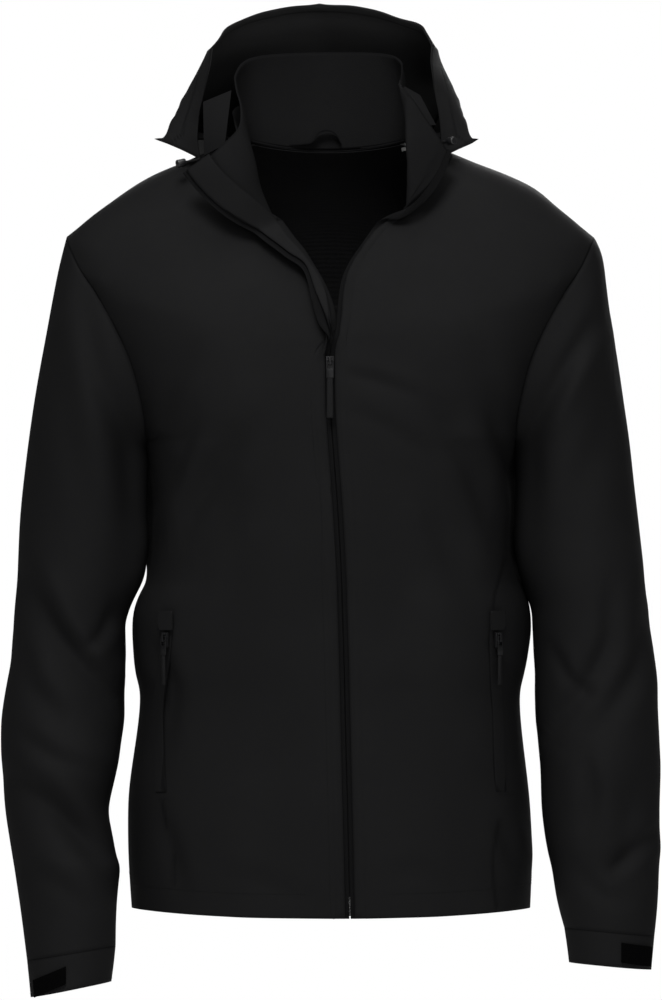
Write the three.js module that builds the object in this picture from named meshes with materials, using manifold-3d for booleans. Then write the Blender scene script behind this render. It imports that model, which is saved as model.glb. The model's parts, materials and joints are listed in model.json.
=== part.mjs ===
// Hooded softshell jacket, hollow, in the pose of a garment that is worn, unzipped at the neck.
// Millimetres, +Z up, the front faces -Y and the wearer's left is +X.
// The origin is the middle of the neck base, level with the high shoulder points.

import * as THREE from 'three';
import Module from 'manifold-3d';
import { mergeVertices } from 'three/addons/utils/BufferGeometryUtils.js';

const wasm = await Module();
wasm.setup();

function table(names, rows) {
  return rows.map((row) => Object.fromEntries(names.map((name, n) => [name, row[n]])));
}

// Driving dimensions

const shellWall = 1.6;         // softshell cloth
const trimWall = 1.0;          // zip tape, loop, label
const seamGap = 0.3;           // between pieces that are sewn together
const layerGap = 0.8;          // between layers that lie on each other
const seamBevel = 0.9;         // the inner edge of a wall is drawn back by this at a seam
const armholeBevel = 2.4;      // and of a sleeve, which meets the body at an angle
const zipHalfGap = 4.5;        // from the zip's centre line to the edge of a front
const armholeSpread = 30;      // degrees of the body's section that half an armhole takes
const shoulderTip = 4;         // the body section that ends the shoulder
const underarm = 7;            // the body section at the bottom of the armhole
const hem = 16;                // the body section at the hem
const sliderHeight = -205;     // the top of the front zip's slider
const sleevePoints = 18;
const stormFlapWidth = 28;

// The body's sections from the neck seam out over the shoulders and down to the hem.
// front, side and back are heights, and zipX is where the zip crosses the section.
const bodySections = table(
  ['front', 'side', 'back', 'halfWidth', 'frontDepth', 'backDepth', 'square', 'shift', 'zipX'],
  [
    [-88, 0, -8, 73, 66, 64, 2.0, -4, -4],
    [-106, -8, -30, 106, 84, 84, 2.1, -3, -3],
    [-128, -23, -62, 142, 99, 101, 2.2, -2, -2],
    [-152, -43, -102, 185, 111, 115, 2.3, -1, -1],
    [-186, -92, -152, 250, 122, 127, 2.3, -1, -1],
    [-224, -150, -188, 234, 130, 131, 2.3, -1, -1],
    [-262, -215, -234, 206, 135, 134, 2.3, -1, 0],
    [-298, -288, -286, 176, 137, 135, 2.4, -1, 2.5],
    [-318, -314, -314, 171, 138, 134, 2.4, -1, 4],
    [-352, -350, -350, 168.5, 139, 132, 2.4, 0, 6.5],
    [-405, -405, -405, 172, 139, 129, 2.4, 0, 9.5],
    [-451, -451, -451, 187, 138, 128, 2.4, -1, 11],
    [-500, -500, -500, 185.5, 137, 126, 2.4, -1, 12.5],
    [-537, -537, -537, 180.5, 136, 127, 2.4, -1, 13.3],
    [-608, -608, -608, 189, 138, 133, 2.4, -2, 15],
    [-667, -665, -663, 192, 140, 139, 2.4, -1, 16.5],
    [-737, -729, -722, 189.5, 141, 142, 2.4, 0, 18],
  ],
);

// The largest folds of the body, as ridges seen from the front or the back.
const bodyFolds = [
  { fromX: 136, fromZ: -283, toX: 168, toZ: -388, width: 15, height: 6, onFront: 1 },
  { fromX: 112, fromZ: -285, toX: 146, toZ: -400, width: 13, height: 4, onFront: 1 },
  { fromX: -130, fromZ: -300, toX: -164, toZ: -380, width: 16, height: 6, onFront: 1 },
  { fromX: 160, fromZ: -646, toX: 178, toZ: -695, width: 15, height: 4, onFront: 1 },
  { fromX: -150, fromZ: -300, toX: -40, toZ: -470, width: 20, height: 6, onFront: 0 },
  { fromX: 150, fromZ: -310, toX: 50, toZ: -450, width: 18, height: 5, onFront: 0 },
];

// Where the open front edges lie. foldX and foldZ are the line where the wearer's right front
// turns out, and edgeX and edgeZ its zip edge. The left front stands open at leftX and leftZ.
// armhole is the angle round the armhole that the row starts from, and shoulder its section.
const neckRows = [
  { armhole: 50, shoulder: null, foldX: -4.5, foldZ: -192, edgeX: -4, edgeZ: -192, leftX: 5.5, leftZ: -193 },
  { armhole: 40, shoulder: null, foldX: 4, foldZ: -178, edgeX: -8, edgeZ: -177, leftX: 8.5, leftZ: -180 },
  { armhole: 20, shoulder: null, foldX: -1, foldZ: -148, edgeX: -16, edgeZ: -151, leftX: 11.5, leftZ: -148 },
  { armhole: 0, shoulder: null, foldX: -19, foldZ: -118, edgeX: -25, edgeZ: -128, leftX: 16, leftZ: -128 },
  { armhole: null, shoulder: 3, foldX: -28, foldZ: -105, edgeX: -38, edgeZ: -118, leftX: 23, leftZ: -114 },
  { armhole: null, shoulder: 2, foldX: -36, foldZ: -96, edgeX: -50, edgeZ: -109, leftX: 32, leftZ: -101 },
  { armhole: null, shoulder: 1, foldX: -42, foldZ: -88, edgeX: -61, edgeZ: -101, leftX: 42, leftZ: -88 },
  { armhole: null, shoulder: 0, foldX: -48, foldZ: -80, edgeX: -72, edgeZ: -92, leftX: 54, leftZ: -79 },
];
const turnOutRadius = 4;
const turnClearance = 9;       // from the turn to where the panel lies evenly
const uprightHeight = 8;       // of the edge where it stands up, between flat and turned out
const standing = { slopeX: 0.85, slopeZ: 0.3, lift: 2.5, reach: 22 };   // of the left front's edge
const turnOutHeights = { under: 1.2, tip: 4, over: 7, middle: 7.6, edge: 8 };

// The collar's stations from its right front end round the back to its left front end.
const collarStations = [
  { place: -1, middle: [-106, -90, -64], top: [-136, -78, -31] },
  { place: -0.88, middle: [-88, -92, -48], top: [-113, -84, -15] },
  { place: -0.81, middle: [-75, -84, -32], top: [-100, -80, -2] },
  { place: -0.73, middle: [-75, -62, -16], top: [-88, -66, 9.5] },
  { place: -0.62, middle: [-80, -34, 6], top: [-86, -40, 30] },
  { place: -0.49, middle: [-85, -4, 25], top: [-91, -8, 50] },
  { place: -0.36, middle: [-85, 27, 37], top: [-90, 25, 67] },
  { place: -0.21, middle: [-66, 58, 42], top: [-71, 60, 81] },
  { place: 0, middle: [-7, 77, 41], top: [-8, 84, 85.5] },
  { place: 0.21, middle: [54, 58, 42], top: [48, 66, 84] },
  { place: 0.36, middle: [70, 30, 40], top: [66, 38, 77] },
  { place: 0.49, middle: [73, 0, 34], top: [68, 8, 67] },
  { place: 0.62, middle: [74, -30, 20], top: [67, -20, 58] },
  { place: 0.73, middle: [74, -58, 0], top: [66, -44, 51] },
  { place: 0.83, middle: [73, -78, -20], top: [83, -56, 29] },
  { place: 0.915, middle: [79, -82, -38], top: [98, -60, 8] },
  { place: 1, middle: [87, -78, -55], top: [111, -58, -13] },
];

// Sleeve sections from the armhole to the end of the cuff. The outer and inner points are the
// sleeve's outline from the front; forward and halfDepth place the section from front to back.
const sleeveSections = {
  right: [
    { outerX: -251, outerZ: -92, innerX: -177, innerZ: -288, forward: 0, halfDepth: 72 },
    { outerX: -259, outerZ: -124, innerX: -181.5, innerZ: -298, forward: 0, halfDepth: 76 },
    { outerX: -267, outerZ: -165, innerX: -182, innerZ: -313, forward: 0, halfDepth: 78 },
    { outerX: -276, outerZ: -213, innerX: -181.5, innerZ: -335, forward: -1, halfDepth: 78 },
    { outerX: -284, outerZ: -262, innerX: -181, innerZ: -364, forward: -2, halfDepth: 76 },
    { outerX: -291, outerZ: -315, innerX: -181, innerZ: -397, forward: -3, halfDepth: 73 },
    { outerX: -296, outerZ: -365, innerX: -184, innerZ: -424, forward: -2, halfDepth: 70 },
    { outerX: -298.5, outerZ: -405, innerX: -194, innerZ: -452, forward: 0, halfDepth: 68 },
    { outerX: -301, outerZ: -450, innerX: -195, innerZ: -486, forward: 3, halfDepth: 66 },
    { outerX: -305, outerZ: -497, innerX: -196, innerZ: -518, forward: 8, halfDepth: 64 },
    { outerX: -312, outerZ: -545, innerX: -196, innerZ: -552, forward: 14, halfDepth: 62 },
    { outerX: -312, outerZ: -590, innerX: -203, innerZ: -592, forward: 21, halfDepth: 60 },
    { outerX: -309, outerZ: -635, innerX: -211, innerZ: -634, forward: 28, halfDepth: 57 },
    { outerX: -304, outerZ: -668, innerX: -207, innerZ: -666, forward: 33, halfDepth: 54 },
    { outerX: -299, outerZ: -699, innerX: -201, innerZ: -694, forward: 38, halfDepth: 51 },
    { outerX: -294, outerZ: -732, innerX: -203, innerZ: -722, forward: 42, halfDepth: 48 },
    { outerX: -288, outerZ: -778, innerX: -204, innerZ: -764, forward: 48, halfDepth: 44 },
    { outerX: -284.5, outerZ: -813, innerX: -208, innerZ: -798, forward: 52, halfDepth: 43 },
  ],
  left: [
    { outerX: 249, outerZ: -92, innerX: 175, innerZ: -288, forward: 0, halfDepth: 72 },
    { outerX: 259, outerZ: -124, innerX: 180, innerZ: -298, forward: 0, halfDepth: 76 },
    { outerX: 265, outerZ: -165, innerX: 180.5, innerZ: -312, forward: 0, halfDepth: 78 },
    { outerX: 273, outerZ: -213, innerX: 180, innerZ: -333, forward: -1, halfDepth: 78 },
    { outerX: 280, outerZ: -262, innerX: 179.5, innerZ: -360, forward: -2, halfDepth: 76 },
    { outerX: 286.5, outerZ: -315, innerX: 179.5, innerZ: -391, forward: -3, halfDepth: 73 },
    { outerX: 292.5, outerZ: -365, innerX: 181, innerZ: -418, forward: -2, halfDepth: 70 },
    { outerX: 297, outerZ: -405, innerX: 189, innerZ: -442, forward: 0, halfDepth: 68 },
    { outerX: 302, outerZ: -450, innerX: 192, innerZ: -477, forward: 3, halfDepth: 66 },
    { outerX: 308, outerZ: -497, innerX: 193.5, innerZ: -512, forward: 8, halfDepth: 64 },
    { outerX: 310.5, outerZ: -545, innerX: 194, innerZ: -552, forward: 14, halfDepth: 62 },
    { outerX: 312.5, outerZ: -592, innerX: 198.5, innerZ: -592, forward: 20, halfDepth: 60 },
    { outerX: 311.5, outerZ: -635, innerX: 200, innerZ: -634, forward: 26, halfDepth: 57 },
    { outerX: 313, outerZ: -668, innerX: 204, innerZ: -667, forward: 31, halfDepth: 54 },
    { outerX: 311, outerZ: -697, innerX: 210, innerZ: -695, forward: 35, halfDepth: 51 },
    { outerX: 309.5, outerZ: -725, innerX: 214, innerZ: -720, forward: 39, halfDepth: 48 },
    { outerX: 306.5, outerZ: -755, innerX: 221, innerZ: -747, forward: 43, halfDepth: 45 },
    { outerX: 303.5, outerZ: -787, innerX: 225.5, innerZ: -780, forward: 47, halfDepth: 43 },
  ],
};
const cuffSection = 16;

// The largest sleeve folds: at a section and angle, with their reach along the sleeve in sections,
// their spread in degrees, their slant in degrees a section and their height. 90 degrees is the front.
const sleeveFolds = {
  right: [
    { section: 8.4, angle: 75, reach: 1.3, spread: 26, slant: 38, height: -8 },
    { section: 10.9, angle: 100, reach: 0.7, spread: 60, slant: 30, height: 6 },
    { section: 12.4, angle: 95, reach: 0.8, spread: 32, slant: 34, height: -7 },
    { section: 14, angle: 120, reach: 0.6, spread: 50, slant: 20, height: 4 },
    { section: 9, angle: 265, reach: 1.0, spread: 40, slant: -25, height: -6 },
    { section: 11, angle: 270, reach: 0.7, spread: 45, slant: -20, height: 5 },
    { section: 2.6, angle: 140, reach: 1.6, spread: 22, slant: 4, height: -7 },
  ],
  left: [
    { section: 9.4, angle: 80, reach: 1.3, spread: 28, slant: 30, height: -8 },
    { section: 11.2, angle: 95, reach: 0.8, spread: 45, slant: 12, height: 5 },
    { section: 13.6, angle: 60, reach: 0.8, spread: 40, slant: 25, height: -6 },
    { section: 9.2, angle: 265, reach: 1.0, spread: 40, slant: -25, height: -6 },
    { section: 11.2, angle: 270, reach: 0.7, spread: 45, slant: -20, height: 5 },
    { section: 2.4, angle: 140, reach: 1.6, spread: 22, slant: 4, height: -8 },
  ],
};

// Materials

function cloth(colour, roughness) {
  return new THREE.MeshStandardMaterial({ color: colour, roughness, metalness: 0 });
}

const materials = {
  shell: cloth(0x1c1c1e, 0.72),
  lining: cloth(0x0b0b0c, 0.9),
  tape: cloth(0x141416, 0.65),
  patch: cloth(0x070708, 0.95),
  label: cloth(0xf2f2f0, 0.8),
  plastic: new THREE.MeshStandardMaterial({ color: 0x111113, roughness: 0.3, metalness: 0.1 }),
  metal: new THREE.MeshStandardMaterial({ color: 0x1a1a1c, roughness: 0.35, metalness: 0.7 }),
};

// Interpolation

function between(values, at) {
  const last = values.length - 1;
  const start = Math.min(Math.max(Math.floor(at), 0), last - 1);
  const t = at - start;
  const b = values[start];
  const c = values[start + 1];
  const a = start > 0 ? values[start - 1] : 2 * b - c;
  const d = start + 2 <= last ? values[start + 2] : 2 * c - b;
  return b + 0.5 * t * (c - a + t * (2 * a - 5 * b + 4 * c - d + t * (3 * (b - c) + d - a)));
}

function column(rows, name, at) {
  return between(rows.map((row) => row[name]), at);
}

function signedPower(value, power) {
  return Math.sign(value) * Math.abs(value) ** power;
}

function toSegment(x, z, fold) {
  const dx = fold.toX - fold.fromX;
  const dz = fold.toZ - fold.fromZ;
  const along = ((x - fold.fromX) * dx + (z - fold.fromZ) * dz) / (dx * dx + dz * dz);
  const t = THREE.MathUtils.clamp(along, 0, 1);
  return Math.hypot(x - fold.fromX - t * dx, z - fold.fromZ - t * dz);
}

// Degrees round a body section from its middle to the point at x on its front.
function sectionAngle(x, section) {
  const at = (name) => column(bodySections, name, section);
  const sine = signedPower((x - at('shift')) / at('halfWidth'), at('square') / 2);
  return THREE.MathUtils.radToDeg(Math.asin(sine));
}

function zipAngle(section) {
  return sectionAngle(column(bodySections, 'zipX', section), section);
}

// The body's surface: degrees is 0 at the zip, 90 at the wearer's left side and 180 at the back.
function bodyPoint(degrees, section) {
  const at = (name) => column(bodySections, name, section);
  const angle = THREE.MathUtils.degToRad(degrees + zipAngle(section));
  const power = 2 / at('square');
  const forward = Math.cos(angle) > 0;
  const depth = forward ? at('frontDepth') : at('backDepth');
  const end = forward ? at('front') : at('back');
  const x = at('shift') + at('halfWidth') * signedPower(Math.sin(angle), power);
  const y = -depth * signedPower(Math.cos(angle), power);
  const z = at('side') + (end - at('side')) * Math.cos(angle) ** 2;
  const point = new THREE.Vector3(x, y, z);
  const outwards = new THREE.Vector3(x / at('halfWidth') ** 2, y / depth ** 2, 0).normalize();
  const height = bodyFolds
    .filter((fold) => (fold.onFront === 1) === forward)
    .reduce((sum, fold) => sum + fold.height * Math.exp(-((toSegment(x, z, fold) / fold.width) ** 2)), 0);
  const awayFromSide = Math.min(1, 2 * Math.abs(Math.cos(angle)));
  return point.addScaledVector(outwards, height * awayFromSide);
}

function bodyNormal(degrees, section) {
  const along = bodyPoint(degrees + 1, section).sub(bodyPoint(degrees - 1, section));
  const down = bodyPoint(degrees, section + 0.05).sub(bodyPoint(degrees, section - 0.05));
  return along.cross(down).normalize().negate();
}

// How the place of a point on the front is searched: small trial steps, and the most for each step.
const search = {
  halfWidth: 260, firstSection: 3, steps: 25, turn: 0.1, down: 0.01, mostTurn: 12, mostDown: 0.6,
};

// The place on the body's front that is seen at x and z.
function bodyPlace(x, z) {
  let degrees = THREE.MathUtils.radToDeg(Math.asin(THREE.MathUtils.clamp(x / search.halfWidth, -1, 1)));
  let section = search.firstSection;
  while (section < hem && column(bodySections, 'front', section) > z) section += 0.5;
  for (let step = 0; step < search.steps; step += 1) {
    const here = bodyPoint(degrees, section);
    const turned = bodyPoint(degrees + search.turn, section).sub(here).divideScalar(search.turn);
    const lower = bodyPoint(degrees, section + search.down).sub(here).divideScalar(search.down);
    const missX = x - here.x;
    const missZ = z - here.z;
    const scale = turned.x * lower.z - turned.z * lower.x;
    const turnBy = (missX * lower.z - missZ * lower.x) / scale;
    const lowerBy = (turned.x * missZ - turned.z * missX) / scale;
    degrees += THREE.MathUtils.clamp(turnBy, -search.mostTurn, search.mostTurn);
    section += THREE.MathUtils.clamp(lowerBy, -search.mostDown, search.mostDown);
  }
  return { degrees, section };
}

function frontPoint(x, z, height) {
  const { degrees, section } = bodyPlace(x, z);
  return bodyPoint(degrees, section).addScaledVector(bodyNormal(degrees, section), height);
}

function armholePlace(side, angle) {
  const turn = THREE.MathUtils.degToRad(angle);
  return {
    degrees: side * (90 - armholeSpread * Math.sin(turn)),
    section: shoulderTip + (underarm - shoulderTip) * 0.5 * (1 - Math.cos(turn)),
  };
}

// Walls from grids of outer points

function gridNormal(grid, row, place, closed) {
  const count = grid[row].length;
  const before = closed ? (place + count - 1) % count : Math.max(place - 1, 0);
  const after = closed ? (place + 1) % count : Math.min(place + 1, count - 1);
  const across = grid[row][after].clone().sub(grid[row][before]);
  const along = grid[Math.min(row + 1, grid.length - 1)][place].clone();
  along.sub(grid[Math.max(row - 1, 0)][place]);
  return across.cross(along).normalize();
}

function moveTowards(point, target, distance) {
  const step = target.clone().sub(point);
  return point.clone().addScaledVector(step, Math.min(distance / step.length(), 0.4));
}

function trimGrid(grid, distance, closed) {
  const last = grid.length - 1;
  return grid.map((points, row) => points.map((point, place) => {
    const end = points.length - 1;
    let moved = point;
    if (row === 0) moved = moveTowards(moved, grid[1][place], distance);
    if (row === last) moved = moveTowards(moved, grid[last - 1][place], distance);
    if (!closed && place === 0) moved = moveTowards(moved, points[1], distance);
    if (!closed && place === end) moved = moveTowards(moved, points[end - 1], distance);
    return moved;
  }));
}

function offsetGrid(grid, distance, closed) {
  return grid.map((points, row) => points.map((point, place) => (
    point.clone().addScaledVector(gridNormal(grid, row, place, closed), distance)
  )));
}

// Closes an outer and an inner grid into one body.
function bodyFromGrids(outer, inner, closed) {
  const rows = outer.length;
  const count = outer[0].length;
  const positions = [...outer.flat(), ...inner.flat()].flatMap((point) => [point.x, point.y, point.z]);
  const index = [];
  const quad = (a, b, c, d) => index.push(a, b, c, a, c, d);
  const at = (layer, row, place) => (layer * rows + row) * count + (place % count);
  const end = count - 1;
  const last = rows - 1;
  const steps = closed ? count : count - 1;
  for (let place = 0; place < steps; place += 1) {
    for (let row = 0; row < last; row += 1) {
      quad(at(0, row, place), at(0, row, place + 1), at(0, row + 1, place + 1), at(0, row + 1, place));
      quad(at(1, row, place), at(1, row + 1, place), at(1, row + 1, place + 1), at(1, row, place + 1));
    }
    quad(at(0, 0, place), at(1, 0, place), at(1, 0, place + 1), at(0, 0, place + 1));
    quad(at(0, last, place), at(0, last, place + 1), at(1, last, place + 1), at(1, last, place));
  }
  for (let row = 0; !closed && row < last; row += 1) {
    quad(at(0, row, 0), at(0, row + 1, 0), at(1, row + 1, 0), at(1, row, 0));
    quad(at(0, row, end), at(1, row, end), at(1, row + 1, end), at(0, row + 1, end));
  }
  return facingOut(positions, index);
}

function facingOut(positions, index) {
  const corner = (n) => new THREE.Vector3(...positions.slice(3 * n, 3 * n + 3));
  let volume = 0;
  for (let n = 0; n < index.length; n += 3) {
    volume += corner(index[n]).dot(corner(index[n + 1]).cross(corner(index[n + 2])));
  }
  const geometry = new THREE.BufferGeometry();
  geometry.setAttribute('position', new THREE.Float32BufferAttribute(positions, 3));
  geometry.setIndex(volume > 0 ? index : index.reverse());
  return geometry;
}

// inwards is 1 or -1, the side of the grid's normals on which the wall's thickness lies.
function wallGeometry(grid, thickness, inwards, closed = false, bevel = seamBevel) {
  const outer = trimGrid(grid, seamGap / 2, closed);
  const inner = trimGrid(offsetGrid(grid, thickness * inwards, closed), seamGap / 2 + bevel, closed);
  return bodyFromGrids(outer, inner, closed);
}

const jacket = new THREE.Group();

function addPiece(name, geometry, material, parent = jacket) {
  const mesh = new THREE.Mesh(geometry, material.clone());
  mesh.name = name;
  parent.add(mesh);
  return mesh;
}

// Fronts

const chestColumns = 8;
const lowerRows = [16, 15.3, 14.6, 14, 13.4, 12.8, 12.2, 11.6, 11, 10.5, 10, 9, 8, 7];
const armholeRows = [160, 140, 120, 100, 80, 60];
const edgeDistances = [16, 12, 8, 4, 0];
const flatAngle = 9;           // degrees from the zip to where the panel's even columns end

function frontRow(side, start, centre, tail) {
  const points = [];
  for (let n = 0; n < chestColumns; n += 1) {
    const t = n / chestColumns;
    const degrees = THREE.MathUtils.lerp(start.degrees, centre.degrees, t);
    const section = THREE.MathUtils.lerp(start.section, centre.section, t);
    points.push(bodyPoint(degrees, section));
  }
  return [...points, ...tail];
}

function flatTail(side, section) {
  const zipX = column(bodySections, 'zipX', section);
  return edgeDistances.map((distance) => {
    const x = zipX + side * (distance + zipHalfGap);
    return bodyPoint(sectionAngle(x, section) - zipAngle(section), section);
  });
}

function turnedTail(row) {
  const reach = Math.hypot(row.edgeX - row.foldX, row.edgeZ - row.foldZ);
  const at = (distance, height) => {
    const t = distance / reach;
    const x = THREE.MathUtils.lerp(row.foldX, row.edgeX, t);
    const z = THREE.MathUtils.lerp(row.foldZ, row.edgeZ, t);
    return frontPoint(x, z, height);
  };
  const radius = Math.min(turnOutRadius, reach / 3);
  return [
    at(radius, turnOutHeights.under),
    at(0, turnOutHeights.tip),
    at(radius, turnOutHeights.over),
    at((reach + radius) / 2, turnOutHeights.middle),
    at(reach, turnOutHeights.edge),
  ];
}

function uprightTail(row) {
  return edgeDistances.map((distance) => {
    const flat = Math.max(distance - uprightHeight, 0);
    return frontPoint(row.foldX - flat, row.foldZ, Math.max(uprightHeight - distance, 0.1 * flat));
  });
}

function leftFrontPlace(row, distance) {
  return [row.leftX + standing.slopeX * distance, row.leftZ + standing.slopeZ * distance];
}

function standingTail(row) {
  return edgeDistances.map((distance) => {
    const lift = standing.lift * (1 - distance / edgeDistances[0]);
    return frontPoint(...leftFrontPlace(row, distance), lift);
  });
}

function startPlace(side, row) {
  if (row.shoulder === null) return armholePlace(side, row.armhole);
  return { degrees: side * 90, section: row.shoulder };
}

function frontGrid(side) {
  const rows = [];
  for (const section of lowerRows) {
    const start = { degrees: side * 90, section };
    rows.push(frontRow(side, start, { degrees: side * flatAngle, section }, flatTail(side, section)));
  }
  const sliderSection = bodyPlace(0, sliderHeight).section;
  armholeRows.forEach((angle, n) => {
    const section = THREE.MathUtils.lerp(underarm, sliderSection, (n + 1) / armholeRows.length);
    const centre = { degrees: side * flatAngle, section };
    rows.push(frontRow(side, armholePlace(side, angle), centre, flatTail(side, section)));
  });
  for (const row of neckRows) {
    const turned = row === neckRows[0] ? uprightTail : turnedTail;
    const tail = side < 0 ? turned(row) : standingTail(row);
    const centre = side < 0
      ? bodyPlace(row.foldX - turnClearance, row.foldZ)
      : bodyPlace(...leftFrontPlace(row, standing.reach));
    rows.push(frontRow(side, startPlace(side, row), centre, tail));
  }
  const halfway = rows.length - neckRows.length;
  rows[halfway][0] = rows[halfway - 1][0].clone().lerp(rows[halfway + 1][0], 0.5);
  return rows;
}

const rightFront = frontGrid(-1);
const leftFront = frontGrid(1);
addPiece('front_right', wallGeometry(rightFront, shellWall, -1), materials.shell);
addPiece('front_left', wallGeometry(leftFront, shellWall, 1), materials.shell);

// Back

const backColumns = 14;

function backGrid() {
  const starts = [
    ...lowerRows.map((section) => ({ degrees: 90, section })),
    ...[...armholeRows, 40, 20, 0].map((angle) => armholePlace(1, -angle)),
    ...[3, 2, 1, 0].map((section) => ({ degrees: 90, section })),
  ];
  return starts.map((start) => Array.from({ length: backColumns + 1 }, (_, n) => {
    const degrees = THREE.MathUtils.lerp(start.degrees, 360 - start.degrees, n / backColumns);
    return bodyPoint(degrees, start.section);
  }));
}

const back = backGrid();
addPiece('back', wallGeometry(back, shellWall, -1), materials.shell);

// Sleeves and cuffs

function sleeveTablePoint(sections, section, angle) {
  const at = (name) => column(sections, name, section);
  const across = 0.5 * Math.cos(angle);
  const x = 0.5 * (at('outerX') + at('innerX')) + across * (at('outerX') - at('innerX'));
  const z = 0.5 * (at('outerZ') + at('innerZ')) + across * (at('outerZ') - at('innerZ'));
  return new THREE.Vector3(x, -at('forward') - at('halfDepth') * Math.sin(angle), z);
}

function foldHeight(folds, section, degrees) {
  return folds.reduce((sum, fold) => {
    const along = (section - fold.section) / fold.reach;
    const centre = fold.angle + fold.slant * (section - fold.section);
    const round = ((degrees - centre + 540) % 360 - 180) / fold.spread;
    return sum + fold.height * Math.exp(-along * along - round * round);
  }, 0);
}

function sleevePoint(name, section, degrees) {
  const side = name === 'left' ? 1 : -1;
  const sections = sleeveSections[name];
  const angle = THREE.MathUtils.degToRad(degrees);
  const point = sleeveTablePoint(sections, section, angle);
  const centre = sleeveTablePoint(sections, section, angle + Math.PI).add(point).multiplyScalar(0.5);
  const outwards = point.clone().sub(centre).normalize();
  point.addScaledVector(outwards, foldHeight(sleeveFolds[name], section, degrees));
  const fade = Math.max(0, 1 - section / 2.5) ** 2;
  const place = armholePlace(side, degrees);
  const seam = bodyPoint(place.degrees, place.section).sub(sleeveTablePoint(sections, 0, angle));
  return point.addScaledVector(seam, fade);
}

function sleeveRings(name, sections) {
  return sections.map((section) => Array.from({ length: sleevePoints }, (_, n) => (
    sleevePoint(name, section, (360 * n) / sleevePoints)
  )));
}

// Sections where the sleeve has a ring of points, closer together over the folds at the elbow.
const sleeveSteps = [
  0, 1, 2, 3, 4, 5, 6, 7, 7.5, 8, 8.5, 9, 9.5, 10, 10.5, 11, 11.5, 12, 12.5, 13, 13.5, 14, 15, 16,
];
const cuffSteps = [cuffSection, cuffSection + 0.5, cuffSection + 1];

for (const name of ['right', 'left']) {
  const inwards = name === 'left' ? -1 : 1;
  const sleeve = wallGeometry(sleeveRings(name, sleeveSteps), shellWall, inwards, true, armholeBevel);
  addPiece(`sleeve_${name}`, sleeve, materials.shell);
  const cuff = wallGeometry(sleeveRings(name, cuffSteps), shellWall, inwards, true, 0);
  addPiece(`cuff_${name}`, cuff, materials.shell);
}

// Collar

const collarHeights = [0, 0.22, 0.5, 0.78, 1];

function measured(points) {
  let sum = 0;
  return points.map((point, n) => {
    sum += n === 0 ? 0 : point.distanceTo(points[n - 1]);
    return sum;
  });
}

// The neck seam from the right front's zip edge round the back to the left front's, and the
// place of each of its points, from -1 at the right end through 0 at the middle of the back to 1.
const neckSeam = [
  ...rightFront.at(-1).slice().reverse(),
  ...back.at(-1).slice().reverse().slice(1),
  ...leftFront.at(-1).slice(1),
];
const seamLengths = measured(neckSeam);
const seamMiddle = rightFront.at(-1).length - 1 + backColumns / 2;
const seamPlaces = seamLengths.map((length, n) => {
  const half = n < seamMiddle ? seamLengths[seamMiddle] : seamLengths.at(-1) - seamLengths[seamMiddle];
  return (length - seamLengths[seamMiddle]) / half;
});

function indexAt(places, place) {
  const found = places.findIndex((value) => value >= place - 1e-9);
  const next = THREE.MathUtils.clamp(found, 1, places.length - 1);
  return next - 1 + (place - places[next - 1]) / (places[next] - places[next - 1]);
}

function stationPoint(name, place) {
  const at = indexAt(collarStations.map((row) => row.place), place);
  const axes = [0, 1, 2].map((axis) => collarStations.map((row) => row[name][axis]));
  return new THREE.Vector3(...axes.map((values) => between(values, at)));
}

function seamPoint(place) {
  const at = indexAt(seamPlaces, place);
  const start = Math.min(Math.floor(at), neckSeam.length - 2);
  return neckSeam[start].clone().lerp(neckSeam[start + 1], at - start);
}

function collarPoint(place, height) {
  return seamPoint(place).multiplyScalar((1 - height) * (1 - 2 * height))
    .addScaledVector(stationPoint('middle', place), 4 * height * (1 - height))
    .addScaledVector(stationPoint('top', place), height * (2 * height - 1));
}

const collar = collarHeights.map((height) => seamPlaces.map((place) => collarPoint(place, height)));
addPiece('collar', wallGeometry(collar, shellWall, 1), materials.shell);

// Zip tapes, storm flap and slider

// The point that lies a distance in from a row's first point.
function alongRow(points, distance) {
  const lengths = measured(points);
  const next = Math.min(Math.max(lengths.findIndex((length) => length > distance), 1), points.length - 1);
  const t = (distance - lengths[next - 1]) / (lengths[next] - lengths[next - 1]);
  return points[next - 1].clone().lerp(points[next], t);
}

// Rows from the hem up to the collar's top, each starting at the zip edge, moved in by a depth.
function edgeRows(front, inwards, depth) {
  const backwards = (points) => points.slice().reverse();
  const panel = offsetGrid(front, depth * inwards, false).map(backwards).slice(0, -1);
  const above = offsetGrid(collar, depth, false);
  return [...panel, ...(inwards < 0 ? above : above.map(backwards))];
}

const tapeDepth = shellWall + layerGap;
const flapDepth = tapeDepth + trimWall + layerGap;
const tapeReach = [0.45 - zipHalfGap, 3.5];
const besideTape = [4.6, 8];
const firstNeckRow = rightFront.length - neckRows.length;

for (const [name, front, inwards] of [['right', rightFront, -1], ['left', leftFront, 1]]) {
  const rows = edgeRows(front, inwards, tapeDepth);
  const tape = rows.map((points) => tapeReach.map((distance) => alongRow(points, distance)));
  addPiece(`zip_tape_${name}`, wallGeometry(tape, trimWall, -inwards, false, 0), materials.tape);
}

// Where the flap starts and ends in a row. Where the front's edge turns out it lies beside the tape.
function flapReach(row) {
  if (Math.abs(row - firstNeckRow) < 2) return besideTape;
  const turned = neckRows[row - firstNeckRow];
  if (!turned) return [1, stormFlapWidth];
  const reach = Math.hypot(turned.edgeX - turned.foldX, turned.edgeZ - turned.foldZ);
  return [1, Math.min(stormFlapWidth, reach - turnOutRadius)];
}

const stormFlap = edgeRows(rightFront, -1, flapDepth).map((points, row) => {
  const [start, end] = flapReach(row);
  return [start, 0.5 * (start + end), end].map((distance) => alongRow(points, distance));
});
addPiece('storm_flap', wallGeometry(stormFlap, shellWall, 1, false, 0), materials.shell);

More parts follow.
